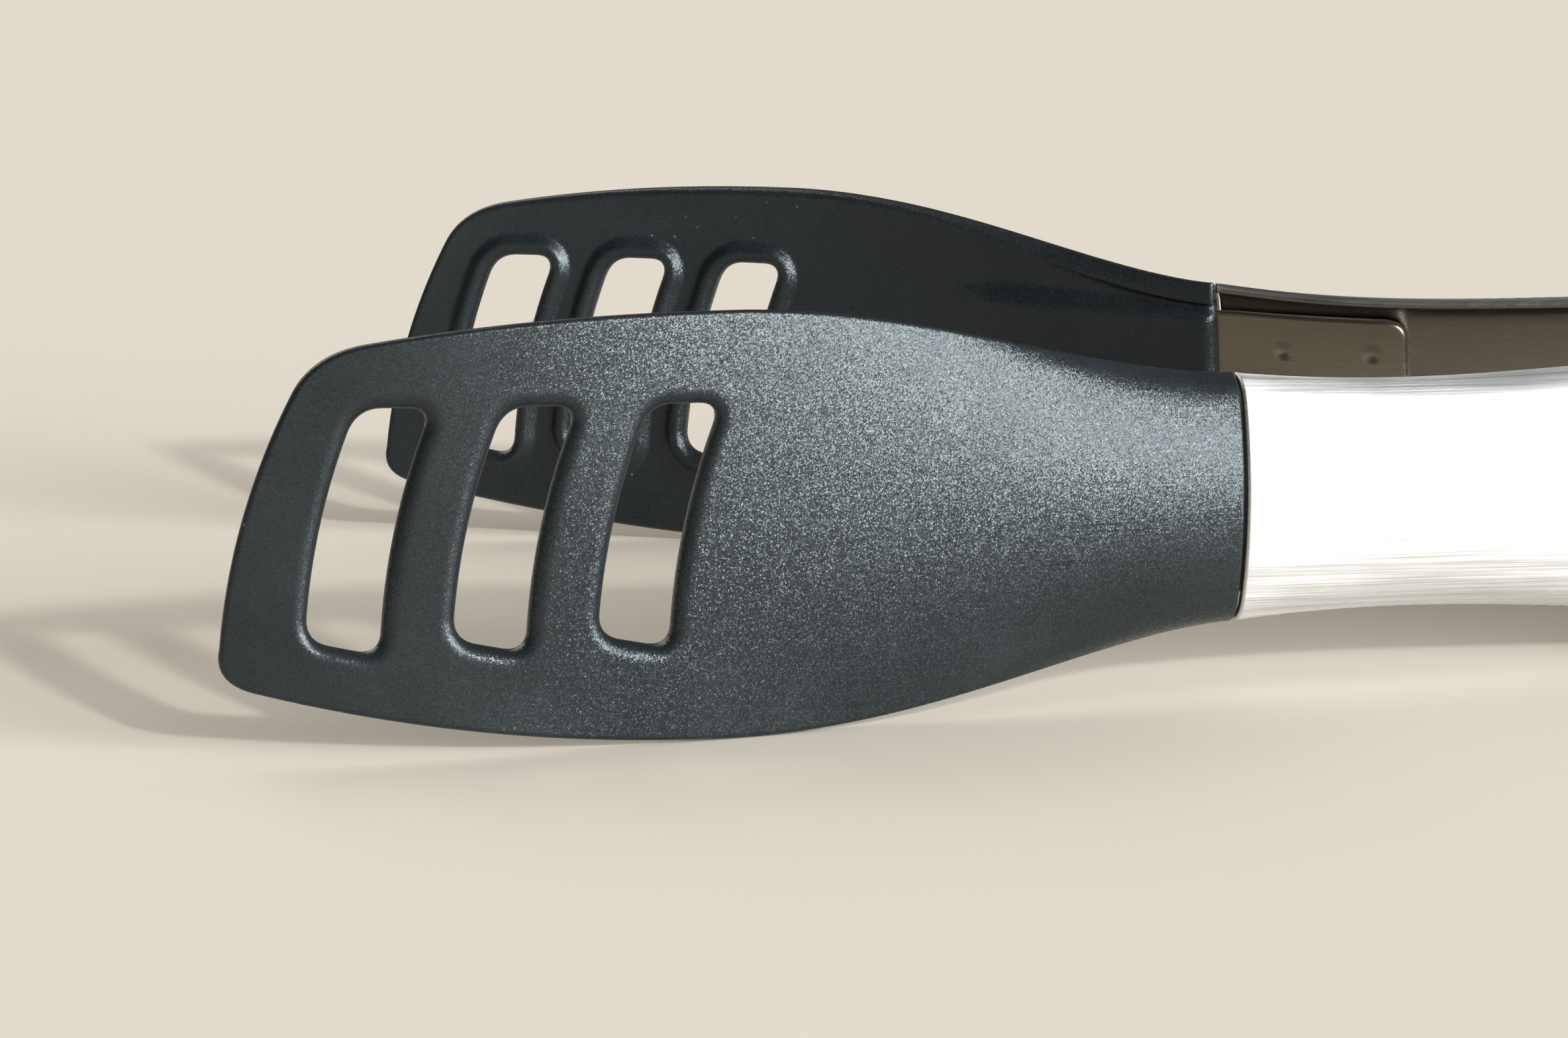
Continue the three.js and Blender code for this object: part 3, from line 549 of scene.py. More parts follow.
# on a head, distances along it are measured from the seam towards the tip
heads = {
    "length": 113.4,
    "halfWidth": 23.4,
    "neck": 58,
    "shoulder": 10,
    "shoulderGain": 1,
    "neckWall": 2.8,
    "bladeWall": 2.6,
    "tipWall": 1.9,
    "bladeCrown": math.radians(2),
    "flareSharpness": 0.85,
    "flattenedBy": 0.85,  # share of the length
    "flatteningSharpness": 0.75,
    "unrolledBy": 0.75,  # share of the neck
    "riseControls": ((0.25, 4.2), (0.72, 10.2)),  # shares of the length, and heights
    "riseEnd": (1, 0.1),  # past the tip, and height
    "edgeCurve": 75,
    "tipCurveHeight": -19,
    "tipCorners": (15, -12.5),
    "topRound": ((10.2, 19.2), (15.6, 20.3)),
    "topEdgeControl": 33.6,
    "bottomRound": ((-0.6, -16.4), (4.4, -17.4)),
    "bottomEdgeControl": 29.5,
    "seamEndRound": (0.3, 1.5),
    "seamEndFade": (0.5, 6),
    "edgeRound": (0.55, 0.9),
    "cover": {"inset": 4.6, "halfWidth": 12.2, "flank": (2, 1.5), "length": 40, "level": 0.6},
    "slots": {"count": 3, "pitch": 15.6, "width": 7.9, "top": 13.5, "bottom": -12.5, "bottomSlope": 0.2,
              "corner": 2.6, "fromTip": 13.2, "curveHeight": -15.5, "rounds": (1.5, 1.65), "roundReach": 1.1,
              "collar": {"height": 1.15, "crown": 1.2, "foot": 3.1, "ringsTo": 3.3, "spacing": 0.5}},
}

spineControls = [(share * heads["length"], rise) for share, rise in heads["riseControls"]]
spineEnd = (heads["length"] + heads["riseEnd"][0], heads["riseEnd"][1])
spine = bezier((0, 0), *spineControls, spineEnd, steps=400)


def headSection(along):
    # a half section of the head. Its half width flares by an eased power along the neck and gains a little
    # more over the shoulder, while the crown flattens and the rolled edges open
    flare = ease((np.maximum(along, 0) / heads["neck"]) ** heads["flareSharpness"], 0, 1)
    flattened = ease(along, 0, heads["flattenedBy"] * heads["length"]) ** heads["flatteningSharpness"]
    crown = mix(arms["seamCrown"], heads["bladeCrown"], flattened)
    shoulder = heads["shoulderGain"] * ease(along, heads["neck"], heads["neck"] + heads["shoulder"])
    return {
        "halfWidth": mix(arms["seamHalfWidth"], heads["halfWidth"], flare) + shoulder,
        "roll": arms["seamRoll"] + 0 * crown,
        "crown": crown,
        "turn": mix(math.pi / 2, crown, ease(along, 0, heads["unrolledBy"] * heads["neck"])),
    }


def headWall(along):
    # eased from the neck's wall to the blade's, and on to the tip's
    blade = mix(heads["neckWall"], heads["bladeWall"], ease(along, 0, heads["neck"]))
    return mix(blade, heads["tipWall"], ease(along, heads["neck"], heads["length"]))


def onHead(side):
    # a plan of distances from the seam and round the section, raised by the spine. Before the seam it lies on
    # the arm, so a plate may run from one into the other
    def place(plan, inset):
        along = plan[:, 0]
        arm = armSection(side, np.minimum(arms["length"] + along, arms["length"]))
        head = headSection(along)
        section = {key: np.where(along < 0, arm[key], head[key]) for key in head}
        across, out = sectionPoint(section, plan[:, 1], inset)
        rise = np.interp(along, spine[:, 0], spine[:, 1])
        return armToTongs(side, arms["length"] + along, across, arms["hingeOffset"] + rise + out)
    return place


def bladeToPlan(stretch):
    # a curve seen square to the blade, as along and across, laid on its developed face
    return np.stack([stretch[:, 0], developedAcross(headSection(stretch[:, 0]), stretch[:, 1])], axis=-1)


def curvedEdge(reach, height, centreHeight):
    # the edges of tip and slots are arcs of one radius: how far along they are at a height
    return reach - heads["edgeCurve"] + np.sqrt(heads["edgeCurve"] ** 2 - (height - centreHeight) ** 2)


def headOutline():
    # out along the neck's lower edge, round the blade by curves and the tip's arc, and back along its upper
    tip, neck, half = heads["length"], heads["neck"], heads["halfWidth"]

    def fromTip(point):
        return tip - point[0], point[1]

    top, bottom = heads["tipCorners"]
    tipHeights = np.linspace(bottom, top, 60)
    tipEdge = np.stack([curvedEdge(tip, tipHeights, heads["tipCurveHeight"]), tipHeights], axis=-1)
    neckAlong = np.linspace(arms["seamGap"] / 2, neck, 80)
    spans = sectionSpans(headSection(neckAlong))
    neckEdge = np.stack([neckAlong, spans[1] + spans[2]], axis=-1)
    (topEnd, topStart), (bottomEnd, bottomStart) = (
        [fromTip(point) for point in heads[key]] for key in ("topRound", "bottomRound"))
    blade = [bladeToPlan(stretch) for stretch in (
        bezier((neck, -half), (tip - heads["bottomEdgeControl"], -half), bottomStart, steps=60),
        bezier(bottomStart, bottomEnd, tipEdge[0]),
        tipEdge,
        bezier(tipEdge[-1], topEnd, topStart),
        bezier(topStart, (tip - heads["topEdgeControl"], half), (neck, half), steps=60),
    )]
    lower = neckEdge * [1, -1]
    return [lower] + blade + [neckEdge[::-1], line(neckEdge[0], lower[0])]


def slotEdges(number):
    # two curved sides, a level top and a bottom that follows the blade's lower edge, with rounded corners
    slots = heads["slots"]
    half, corner = slots["width"] / 2, slots["corner"]
    top, bottom, slope = slots["top"], slots["bottom"], slots["bottomSlope"]
    middle = heads["length"] - slots["fromTip"] - number * slots["pitch"]

    def at(offset, height, lift=0):
        height = height + lift * np.asarray(offset, float)
        return np.stack(np.broadcast_arrays(
            curvedEdge(middle + offset, height, slots["curveHeight"]), height), axis=-1)

    foot = [bottom + slope * sign * half + corner for sign in (-1, 1)]
    head = top - corner
    return [
        at(half, np.linspace(foot[1], head, 30)),
        bezier(at(half, head), at(half, top), at(half - corner, top)),
        at(np.linspace(half - corner, corner - half, 8), top),
        bezier(at(corner - half, top), at(-half, top), at(-half, head)),
        at(-half, np.linspace(head, foot[0], 30)),
        bezier(at(-half, foot[0]), at(-half, bottom, slope), at(corner - half, bottom, slope)),
        at(np.linspace(corner - half, half - corner, 8), bottom, slope),
        bezier(at(half - corner, bottom, slope), at(half, bottom, slope), at(half, foot[1])),
    ]


def makeHead(side, finish):
    # one moulded sheet with slots and a neck that is cut off square at the seam
    slots, cover = heads["slots"], heads["cover"]
    collar = slots["collar"]
    holes = [[bladeToPlan(stretch) for stretch in slotEdges(number)] for number in range(slots["count"])]
    rims = np.concatenate([evenLoop(hole, collar["spacing"]) for hole in holes])

    def insets(plan):
        # the outer face is plain; the inner one has a raised collar round each slot and covers the insert
        along, across, wall = plan[:, 0], np.abs(plan[:, 1]), headWall(plan[:, 0])
        raised = collar["height"] * (1 - ease(distanceTo(plan, rims), collar["crown"], collar["foot"]))
        flankFrom, flankTo = cover["halfWidth"] - cover["flank"][0], cover["halfWidth"] + cover["flank"][1]
        covered = (1 - ease(along, cover["level"] * cover["length"], cover["length"])) \
            * (1 - ease(across, flankFrom, flankTo))
        return 0 * wall, mix(wall, cover["inset"], covered) + raised

    def rounds(loop):
        if signedArea(loop) < 0:
            return [np.full(len(loop), radius) for radius in slots["rounds"]]
        beyondSeam = ease(loop[:, 0], *heads["seamEndFade"])
        return [mix(*radii, beyondSeam) for radii in zip(heads["seamEndRound"], heads["edgeRound"])]

    blade = sheetPart(headOutline(), holes, onHead(side), insets, rounds, side, grid=(1.2, 0.9), spacing=0.7,
                      holeReach=slots["roundReach"], collar=collar["ringsTo"])
    addPiece(side + "TurnerHead", side + "_head", side + "_side", finish, [blade])


# steel plates that tie the heads to the arms
inserts = {
    "sheet": 1.2,
    "seat": 0.3,
    "inArm": 24,
    "inHead": 20,
    "halfWidth": 11,
    "corner": 3,
    "edgeRound": 0.55,
    "weld": {"radius": 1.3, "depth": 0.3, "fromSeam": (8.5, 19.7), "across": 5.9},
}


def makeInsert(side, finish):
    # a plate on the inside of the arm that runs on into the head
    outer, weld = arms["sheet"] + inserts["seat"], inserts["weld"]
    start, end, corner = -inserts["inArm"], inserts["inHead"], inserts["corner"]
    along = np.linspace(start, end, 60)
    section = armSection(side, np.minimum(arms["length"] + along, arms["length"]))

    def roundSection(across):
        # the distance round the section that stays within across all along the plate
        return float(developedAcross(section, np.full_like(along, across)).min())

    half, weldAcross = roundSection(inserts["halfWidth"]), roundSection(weld["across"])
    outline = [
        line((start + corner, -half), (end, -half)),
        line((end, -half), (end, half)),
        line((end, half), (start + corner, half)),
        arc((start + corner, half - corner), corner, 90, 180),
        line((start, half - corner), (start, corner - half)),
        arc((start + corner, corner - half), corner, 180, 270),
    ]

    def insets(plan):
        # each dimple is a paraboloid, eased at its rim
        across = np.abs(plan[:, 1]) - weldAcross
        gaps = [np.hypot(plan[:, 0] + fromSeam, across) for fromSeam in weld["fromSeam"]]
        dimple = np.clip(1 - (np.min(gaps, axis=0) / weld["radius"]) ** 2, 0, 1)
        return outer + 0 * dimple, outer + inserts["sheet"] - weld["depth"] * ease(dimple, 0, 1)

    plate = sheetPart(outline, [], onHead(side), insets, evenRounds(inserts["edgeRound"]), side,
                      grid=(0.55, 0.55), spacing=0.6)
    addPiece(side + "InsertPlate", side + "_insert", side + "_side", finish, [plate])


# soft pads on the handles, with studs that go through the sheet and a liner under it
grips = {
    "start": 28,
    "end": 96,
    "thickness": 2.6,
    "edge": 0.9,
    "endSharpness": 0.5,
    "sideSharpness": 3,
    "flange": 3,
    "seat": 0.3,
    "edgeRound": 0.42,
    "grooves": {"count": 5, "pitch": 4, "depth": 0.7, "halfWidth": 9, "fade": 1.5, "fromEnd": 12,
                "radius": 1.15, "sharpness": 1.3},
    "liner": {"sheet": 1.5, "margin": 8, "edgeRound": 0.5},
    "studs": {"count": 3, "fromLinerEnd": 4, "headRadius": 3.4, "head": 1.2, "sunk": 0.4,
              "bevel": (0.75, 0.55), "round": 0.5},
}


def halfGirth(side, along, flange):
    # round half of the arm's back and one rolled edge, and on along its flange
    _, crown, roll = sectionSpans(armSection(side, along))
    return crown + roll + flange


def stripOutline(side, start, end, flange, steps):
    # a strip over the arm's back whose two sides mirror each other
    along = np.linspace(start, end, steps)
    upper = np.stack([along, halfGirth(side, along, flange)], axis=-1)[::-1]
    lower = upper[::-1] * [1, -1]
    return [upper, line(upper[-1], lower[0]), lower, line(lower[-1], upper[0])]


def makeStuds(side, start, end):
    # round heads under the liner, with bevelled edges
    studs, liner = grips["studs"], grips["liner"]
    inner = arms["hingeOffset"] - arms["sheet"] - liner["sheet"] - 2 * grips["seat"]
    radius, height, sunk = studs["headRadius"], studs["head"], studs["sunk"]
    flat, rim = studs["bevel"]
    profile = roundedProfile([(nearAxis, sunk), (radius, sunk), (radius, -rim * height),
                              (flat * radius, -height), (nearAxis, -height)], studs["round"])
    made = []
    for centre in np.linspace(start + studs["fromLinerEnd"], end - studs["fromLinerEnd"], studs["count"]):
        points, faces, plan = turnedPart(
            profile, lambda x, y, out: armToTongs(side, centre + x, y, inner + out))
        made.append((points, faces if side == "front" else [face[::-1] for face in faces], plan))
    return made


def makeGrip(side, finish, linerFinish):
    # a pad round the handle's back and flanges with its studs, and the liner inside the handle
    start, end, flange = grips["start"], grips["end"], grips["flange"]
    grooves, liner = grips["grooves"], grips["liner"]
    groovesAt = end - grooves["fromEnd"] - grooves["pitch"] * np.arange(grooves["count"])

    def padInsets(plan):
        # from the edge's thickness up to the middle's by a power of a half sine along the pad, down to its
        # sides by a power of the distance, and less a power of a cosine over each groove
        along, across = plan[:, 0], np.abs(plan[:, 1])
        share = np.clip((along - start) / (end - start), 0, 1)
        sideways = across / halfGirth(side, along, flange)
        full = mix(grips["thickness"], 2 * grips["edge"], sideways ** grips["sideSharpness"])
        thickness = mix(grips["edge"], full, np.sin(math.pi * share) ** grips["endSharpness"])
        gap = np.abs(plan[:, :1] - groovesAt).min(axis=1) / grooves["radius"]
        inBand = 1 - ease(across, grooves["halfWidth"] - grooves["fade"], grooves["halfWidth"])
        groove = np.cos(math.pi / 2 * np.clip(gap, 0, 1)) ** grooves["sharpness"]
        thickness = thickness - grooves["depth"] * inBand * groove
        return -grips["seat"] - thickness, -grips["seat"] + 0 * thickness

    pad = sheetPart(stripOutline(side, start, end, flange, 60), [], onArm(side), padInsets,
                    evenRounds(grips["edgeRound"]), side, grid=(0.55, 0.8), spacing=0.7)
    start, end = start + liner["margin"], end - liner["margin"]
    studs = makeStuds(side, start, end)
    addPiece(side + "GripPad", side + "_grip", side + "_side", finish, [pad] + studs)
    plate = sheetPart(stripOutline(side, start, end, 0, 40), [], onArm(side),
                      evenInsets(arms["sheet"] + grips["seat"], liner["sheet"]),
                      evenRounds(liner["edgeRound"]), side, grid=(2, 0.8))
    addPiece(side + "GripLiner", side + "_grip_liner", side + "_side", linerFinish, [plate])


# rivet, washers, spacer tube and torsion spring on one axis
hinge = {
    "halfWidth": 14.5,
    "runningGap": 0.15,
    "pin": {"radius": 2.4, "headRadius": 4.5, "head": 1.6, "flatShare": 0.7, "bevel": 0.6, "rimShare": 0.5,
            "round": 0.45},
    "washer": {"radius": 5.4, "thickness": 0.8, "round": 0.2},
    "tube": {"radius": 3.2, "halfLength": 11.5, "round": 0.25},
    "spring": {"wire": 0.75, "coil": 4.4, "turns": 4, "pitch": 1.8, "start": 2, "legReach": 24, "seat": 0.3,
               "endLength": 0.15, "endShares": (0.8, 0.03), "tongueShare": 0.7, "bendLength": 3.1,
               "legSteps": 24, "turnSteps": 50, "roundSteps": 16},
}


def onAxis(x, y, height):
    # a turned shape stays on the hinge axis
    return np.stack(np.broadcast_arrays(x, y, height), axis=-1)


def besideAxis(reach):
    # a turned shape beside the hinge axis, towards the pull tab
    return lambda x, y, height: onAxis(x + reach, y, height)


def ringProfile(inner, outer, low, high, radius):
    # a ring's section with rounded corners, from the middle of its bore back to there
    middle = (low + high) / 2
    corners = [(inner, middle), (inner, low), (outer, low), (outer, high), (inner, high), (inner, middle)]
    return roundedProfile(corners, radius)[:-1]


def makeHinge(finish, wireFinish):
    # the rivet with a head at each end, then the washers and the tube round it
    pin, washer, tube = hinge["pin"], hinge["washer"], hinge["tube"]
    washerBase = hinge["halfWidth"] + hinge["runningGap"]
    washerTop = washerBase + washer["thickness"]
    headBase = washerTop + hinge["runningGap"]
    top, rim = headBase + pin["head"], headBase + pin["rimShare"] * pin["head"]
    flat = pin["flatShare"] * pin["headRadius"] - pin["bevel"]
    half = [(nearAxis, top), (flat, top), (pin["headRadius"], rim), (pin["headRadius"], headBase),
            (pin["radius"], headBase), (pin["radius"], 0)]
    profile = mirroredProfile(half, pin["round"])
    addPiece("hingeRivet", "hinge_pin", "hinge", finish, [turnedPart(profile, onAxis)])

    bore = pin["radius"] + hinge["runningGap"]
    for name, low, high in (("upper", washerBase, washerTop), ("lower", -washerTop, -washerBase)):
        profile = ringProfile(bore, washer["radius"], low, high, washer["round"])
        ring = turnedPart(profile, onAxis, looped=True)
        addPiece(name + "Washer", "hinge_washer_" + name, "hinge", finish, [ring])
    profile = ringProfile(bore, tube["radius"], -tube["halfLength"], tube["halfLength"], tube["round"])
    ring = turnedPart(profile, onAxis, looped=True)
    addPiece("spacerTube", "spacer_tube", "hinge", finish, [ring])
    makeSpring(wireFinish)


def springPath():
    # the wire's middle line: straight in along one leg, round the coil, out along the other leg
    spring, angle = hinge["spring"], math.radians(arms["openAngle"])
    section = armSection("rear", np.array([spring["legReach"]]))
    crownDrop = (section["halfWidth"] - section["roll"])[0] * math.tan(arms["hingeCrown"] / 2)
    out = arms["hingeOffset"] - crownDrop - arms["sheet"] - spring["seat"] - spring["wire"]
    end = np.array([-spring["legReach"] * math.cos(angle) + out * math.sin(angle),
                    spring["legReach"] * math.sin(angle) + out * math.cos(angle)])
    span, coil = np.linalg.norm(end), spring["coil"]
    leave = math.atan2(end[1], end[0]) - math.acos(coil / span)
    sweep = 2 * leave + 2 * math.pi * spring["turns"]
    leg = math.sqrt(span ** 2 - coil ** 2)
    wound = coil * sweep
    reached = np.concatenate([
        np.linspace(0, leg, spring["legSteps"])[:-1],
        np.linspace(leg, leg + wound, spring["turnSteps"] * spring["turns"] + 1),
        np.linspace(leg + wound, 2 * leg + wound, spring["legSteps"])[1:],
    ]) - leg
    turned = np.clip(reached / wound, 0, 1) * sweep
    beyond = np.minimum(reached, 0) + np.maximum(reached - wound, 0)
    turn = turned - leave
    height = spring["start"] + spring["pitch"] * turned / (2 * math.pi)
    return np.stack([coil * np.cos(turn) - beyond * np.sin(turn),
                     coil * np.sin(turn) + beyond * np.cos(turn), height], axis=-1)


def makeSpring(finish):
    # circles carried along the wire's middle line
    spring, path = hinge["spring"], springPath()
    ahead = np.gradient(path, axis=0)
    ahead /= np.linalg.norm(ahead, axis=1, keepdims=True)
    sideways = np.cross([0, 0, 1], ahead)
    sideways /= np.linalg.norm(sideways, axis=1, keepdims=True)
    upward = np.cross(ahead, sideways)
    around = np.linspace(0, 2 * math.pi, spring["roundSteps"], endpoint=False)[:, None]
    middle, last = len(path) // 2, len(path) - 1
    endRound, endFlat = spring["endShares"]

    def wireRing(at, share=1, shift=0):
        # a circle square to the wire at that step of its middle line, with a share of the wire's radius
        circle = np.cos(around) * sideways[at] + np.sin(around) * upward[at]
        return path[at] + shift * ahead[at] + share * spring["wire"] * circle

    # the wire is two pieces that meet in the middle of the coil, where a step of each runs on inside the
    # other
    rings = [wireRing(at) for at in range(last + 1)]
    frontEnd = [wireRing(0, share, -spring["endLength"]) for share in (endFlat, endRound)]
    rearEnd = [wireRing(last, share, spring["endLength"]) for share in (endRound, endFlat)]
    frontTongue, rearTongue = (wireRing(middle + step, spring["tongueShare"]) for step in (1, -1))
    halves = {
        "front": (frontEnd + rings[:middle + 1] + [frontTongue], -ahead[0]),
        "rear": ([rearTongue] + rings[middle:] + rearEnd, ahead[-1]),
    }
    height = np.array([0, 0, path[middle, 2]])
    for side, (rings, legWay) in halves.items():
        flatWay = legWay * [1, 1, 0] / np.linalg.norm(legWay[:2])
        bend = (side + "_side", height - spring["bendLength"] * flatWay, height)
        addPiece(side + "SpringHalf", "torsion_spring", "hinge", finish,
                 [wrappedPart(np.array(rings))], bend)


def flatPlate(thickness):
    # square to the hinge axis, with half of its thickness on each side of the middle
    return lambda plan, inset: np.stack([plan[:, 0], plan[:, 1], thickness / 2 - inset], axis=-1)


def makeStem(finish):
    # a plate with a long hole for the spacer tube and a hole for the cross pin, and a neck in the pull tab
    stem, travel = lock["stem"], lock["travel"]
    slotHalf = hinge["tube"]["radius"] + lock["slide"]
    half = slotHalf + stem["rim"]
    freeReach = lock["lockedReach"] - travel
    neck = half - stem["shoulder"]
    taperFrom, taperControl = freeReach - stem["taperLead"], freeReach + stem["taperLead"]
    shoulder, end = lock["tab"]["start"] - stem["shoulderGap"], lock["tab"]["start"] + stem["inTab"]
    outline = [
        arc((-travel, 0), half, 90, 270, steps=40),
        line((-travel, -half), (taperFrom, -half)),
        bezier((taperFrom, -half), (taperControl, -half), (shoulder, -neck)),
        line((shoulder, -neck), (end, -neck)),
        line((end, -neck), (end, neck)),
        line((end, neck), (shoulder, neck)),
        bezier((shoulder, neck), (taperControl, half), (taperFrom, half)),
        line((taperFrom, half), (-travel, half)),
    ]
    pinHole = arc((freeReach, 0), lock["pinRadius"] + lock["seat"], 0, 360)
    holes = [capsule((-travel, 0), (0, 0), slotHalf), [pinHole]]
    plate = sheetPart(outline, holes, flatPlate(stem["thickness"]), evenInsets(0, stem["thickness"]),
                      evenRounds(stem["edgeRound"], stem["edgeRound"]), grid=(2, 2), spacing=0.6)
    addPiece("lockStem", "lock_stem", "lock", finish, [plate])


def makeCrossPin(finish):
    # a pin with a head at each end
    headRadius, head = lock["pinHead"]
    base = hinge["halfWidth"] + lock["seat"]
    half = [(nearAxis, base + head), (headRadius, base + head), (headRadius, base),
            (lock["pinRadius"], base), (lock["pinRadius"], 0)]
    place = besideAxis(lock["lockedReach"] - lock["travel"])
    pin = turnedPart(mirroredProfile(half, lock["pinRound"]), place, steps=32)
    addPiece("lockCrossPin", "lock_pin", "lock", finish, [pin])


def makeTab(finish):
    # a plate that widens to a round end, with a long hole to hang it by
    tab, bevel = lock["tab"], lock["tab"]["bevel"]
    near, far = tab["start"], tab["start"] + tab["length"] - tab["halfWidth"]
    wide, narrow = tab["halfWidth"], tab["neckShare"] * (tab["halfWidth"] - bevel) + bevel
    middle = (near + bevel + far) / 2
    hole, corner = tab["hole"], tab["corner"]
    outline = [
        bezier((near + corner, -narrow), (middle, -narrow), (far, -wide), steps=40),
        arc((far, 0), wide, -90, 90, steps=60),
        bezier((far, wide), (middle, narrow), (near + corner, narrow), steps=40),
        arc((near + corner, narrow - corner), corner, 90, 180),
        line((near, narrow - corner), (near, corner - narrow)),
        arc((near + corner, corner - narrow), corner, 180, 270),
    ]

    def insets(plan):
        # a shallow oval dish on each face
        dish = tab["dish"]
        along, across = plan[:, 0] - near - dish["fromEnd"], plan[:, 1]
        away = np.hypot(along / dish["halfLength"], across / dish["halfWidth"])
        sunk = dish["depth"] * (1 - ease(away, dish["flatShare"], 1))
        return sunk, tab["thickness"] - sunk

    hangingHole = capsule((far - tab["holeLength"] + 2 * hole, 0), (far, 0), hole)
    plate = sheetPart(outline, [hangingHole], flatPlate(tab["thickness"]), insets,
                      evenRounds(tab["edgeRound"], tab["holeRound"]), grid=(0.9, 0.9), spacing=0.7)
    addPiece("pullTab", "pull_tab", "lock", finish, [plate])


# brushed lines, moulded skin, and wear; scales are shares of the one that a finish gives
patterns = {
    "brushed": {"scales": (1, 0.16), "details": (3, 2), "shares": (0.7, 0.3), "roughness": 0.6},
    "moulded": {"pitScale": 0.45, "pitDetail": 2, "pitRoughness": 0.55},
    "worn": {"detail": 4, "roughness": 0.6, "smudge": (0.38, 0.68), "settled": (0.5, 0.62),
             "speckScale": 9, "speck": (0.03, 0.09)},
}


def newGroup(name, inputs, outputs):
    # a node group that several finishes share; it puts out values that change over the surface
    group = bpy.data.node_groups.new(name, "ShaderNodeTree")
    for label, kind, value in inputs:
        socket = group.interface.new_socket(label, in_out="INPUT", socket_type=kind)
        if value is not None:
            socket.default_value = value
    for label, kind in outputs:
        group.interface.new_socket(label, in_out="OUTPUT", socket_type=kind)
    return group, group.nodes.new("NodeGroupInput"), group.nodes.new("NodeGroupOutput")


def addNode(tree, kind, **settings):
    # settings named as the node's own attributes; anything left over is an input socket's value
    node = tree.nodes.new(kind)
    for key, value in settings.items():
        if hasattr(node, key):
            setattr(node, key, value)
        else:
            node.inputs[key.replace("_", " ")].default_value = value
    return node


def maths(tree, operation, first, second=None, clamp=False):
    # each of the two values is a socket or a number
    node = addNode(tree, "ShaderNodeMath", operation=operation, use_clamp=clamp)
    for socket, value in zip(node.inputs, (first, second)):
        if isinstance(value, bpy.types.NodeSocket):
            tree.links.new(value, socket)
        elif value is not None:
            socket.default_value = value
    return node.outputs[0]


def spread(tree, value, fromLow, fromHigh, toLow, toHigh):
    # goes over smoothly from toLow to toHigh as the value goes from fromLow to fromHigh
    node = addNode(tree, "ShaderNodeMapRange", interpolation_type="SMOOTHSTEP")
    tree.links.new(value, node.inputs["Value"])
    ends = {"From Min": fromLow, "From Max": fromHigh, "To Min": toLow, "To Max": toHigh}
    for label, number in ends.items():
        node.inputs[label].default_value = number
    return node.outputs[0]


def blendColour(tree, factor, first, second):
    # from the first colour at a factor of 0 to the second at 1; each may be a socket
    node = addNode(tree, "ShaderNodeMix", data_type="RGBA")
    for socket, value in ((node.inputs[0], factor), (node.inputs[6], first), (node.inputs[7], second)):
        if isinstance(value, bpy.types.NodeSocket):
            tree.links.new(value, socket)
        else:
            socket.default_value = (*value, 1) if isinstance(value, tuple) else value
    return node.outputs[2]


def brushedGrain():
    # lines drawn out along the first coordinate: fine scratches over broader bands
    brushed = patterns["brushed"]
    group, given, out = newGroup("brushedGrain", [
        ("Vector", "NodeSocketVector", None), ("Lines", "NodeSocketFloat", 5500),
        ("Stretch", "NodeSocketFloat", 0.012),
    ], [("Tone", "NodeSocketFloat"), ("Height", "NodeSocketFloat")])
    squeeze = addNode(group, "ShaderNodeCombineXYZ", Y=1, Z=1)
    group.links.new(given.outputs["Stretch"], squeeze.inputs["X"])
    drawn = addNode(group, "ShaderNodeVectorMath", operation="MULTIPLY")
    group.links.new(given.outputs["Vector"], drawn.inputs[0])
    group.links.new(squeeze.outputs[0], drawn.inputs[1])
    noises, tones = [], []
    for scale, detail, share in zip(brushed["scales"], brushed["details"], brushed["shares"]):
        noise = addNode(group, "ShaderNodeTexNoise", Detail=detail, Roughness=brushed["roughness"])
        group.links.new(drawn.outputs[0], noise.inputs["Vector"])
        group.links.new(maths(group, "MULTIPLY", given.outputs["Lines"], scale), noise.inputs["Scale"])
        noises.append(noise.outputs[0])
        tones.append(maths(group, "MULTIPLY", noise.outputs[0], share))
    group.links.new(maths(group, "ADD", *tones), out.inputs["Tone"])
    group.links.new(noises[0], out.inputs["Height"])
    return group


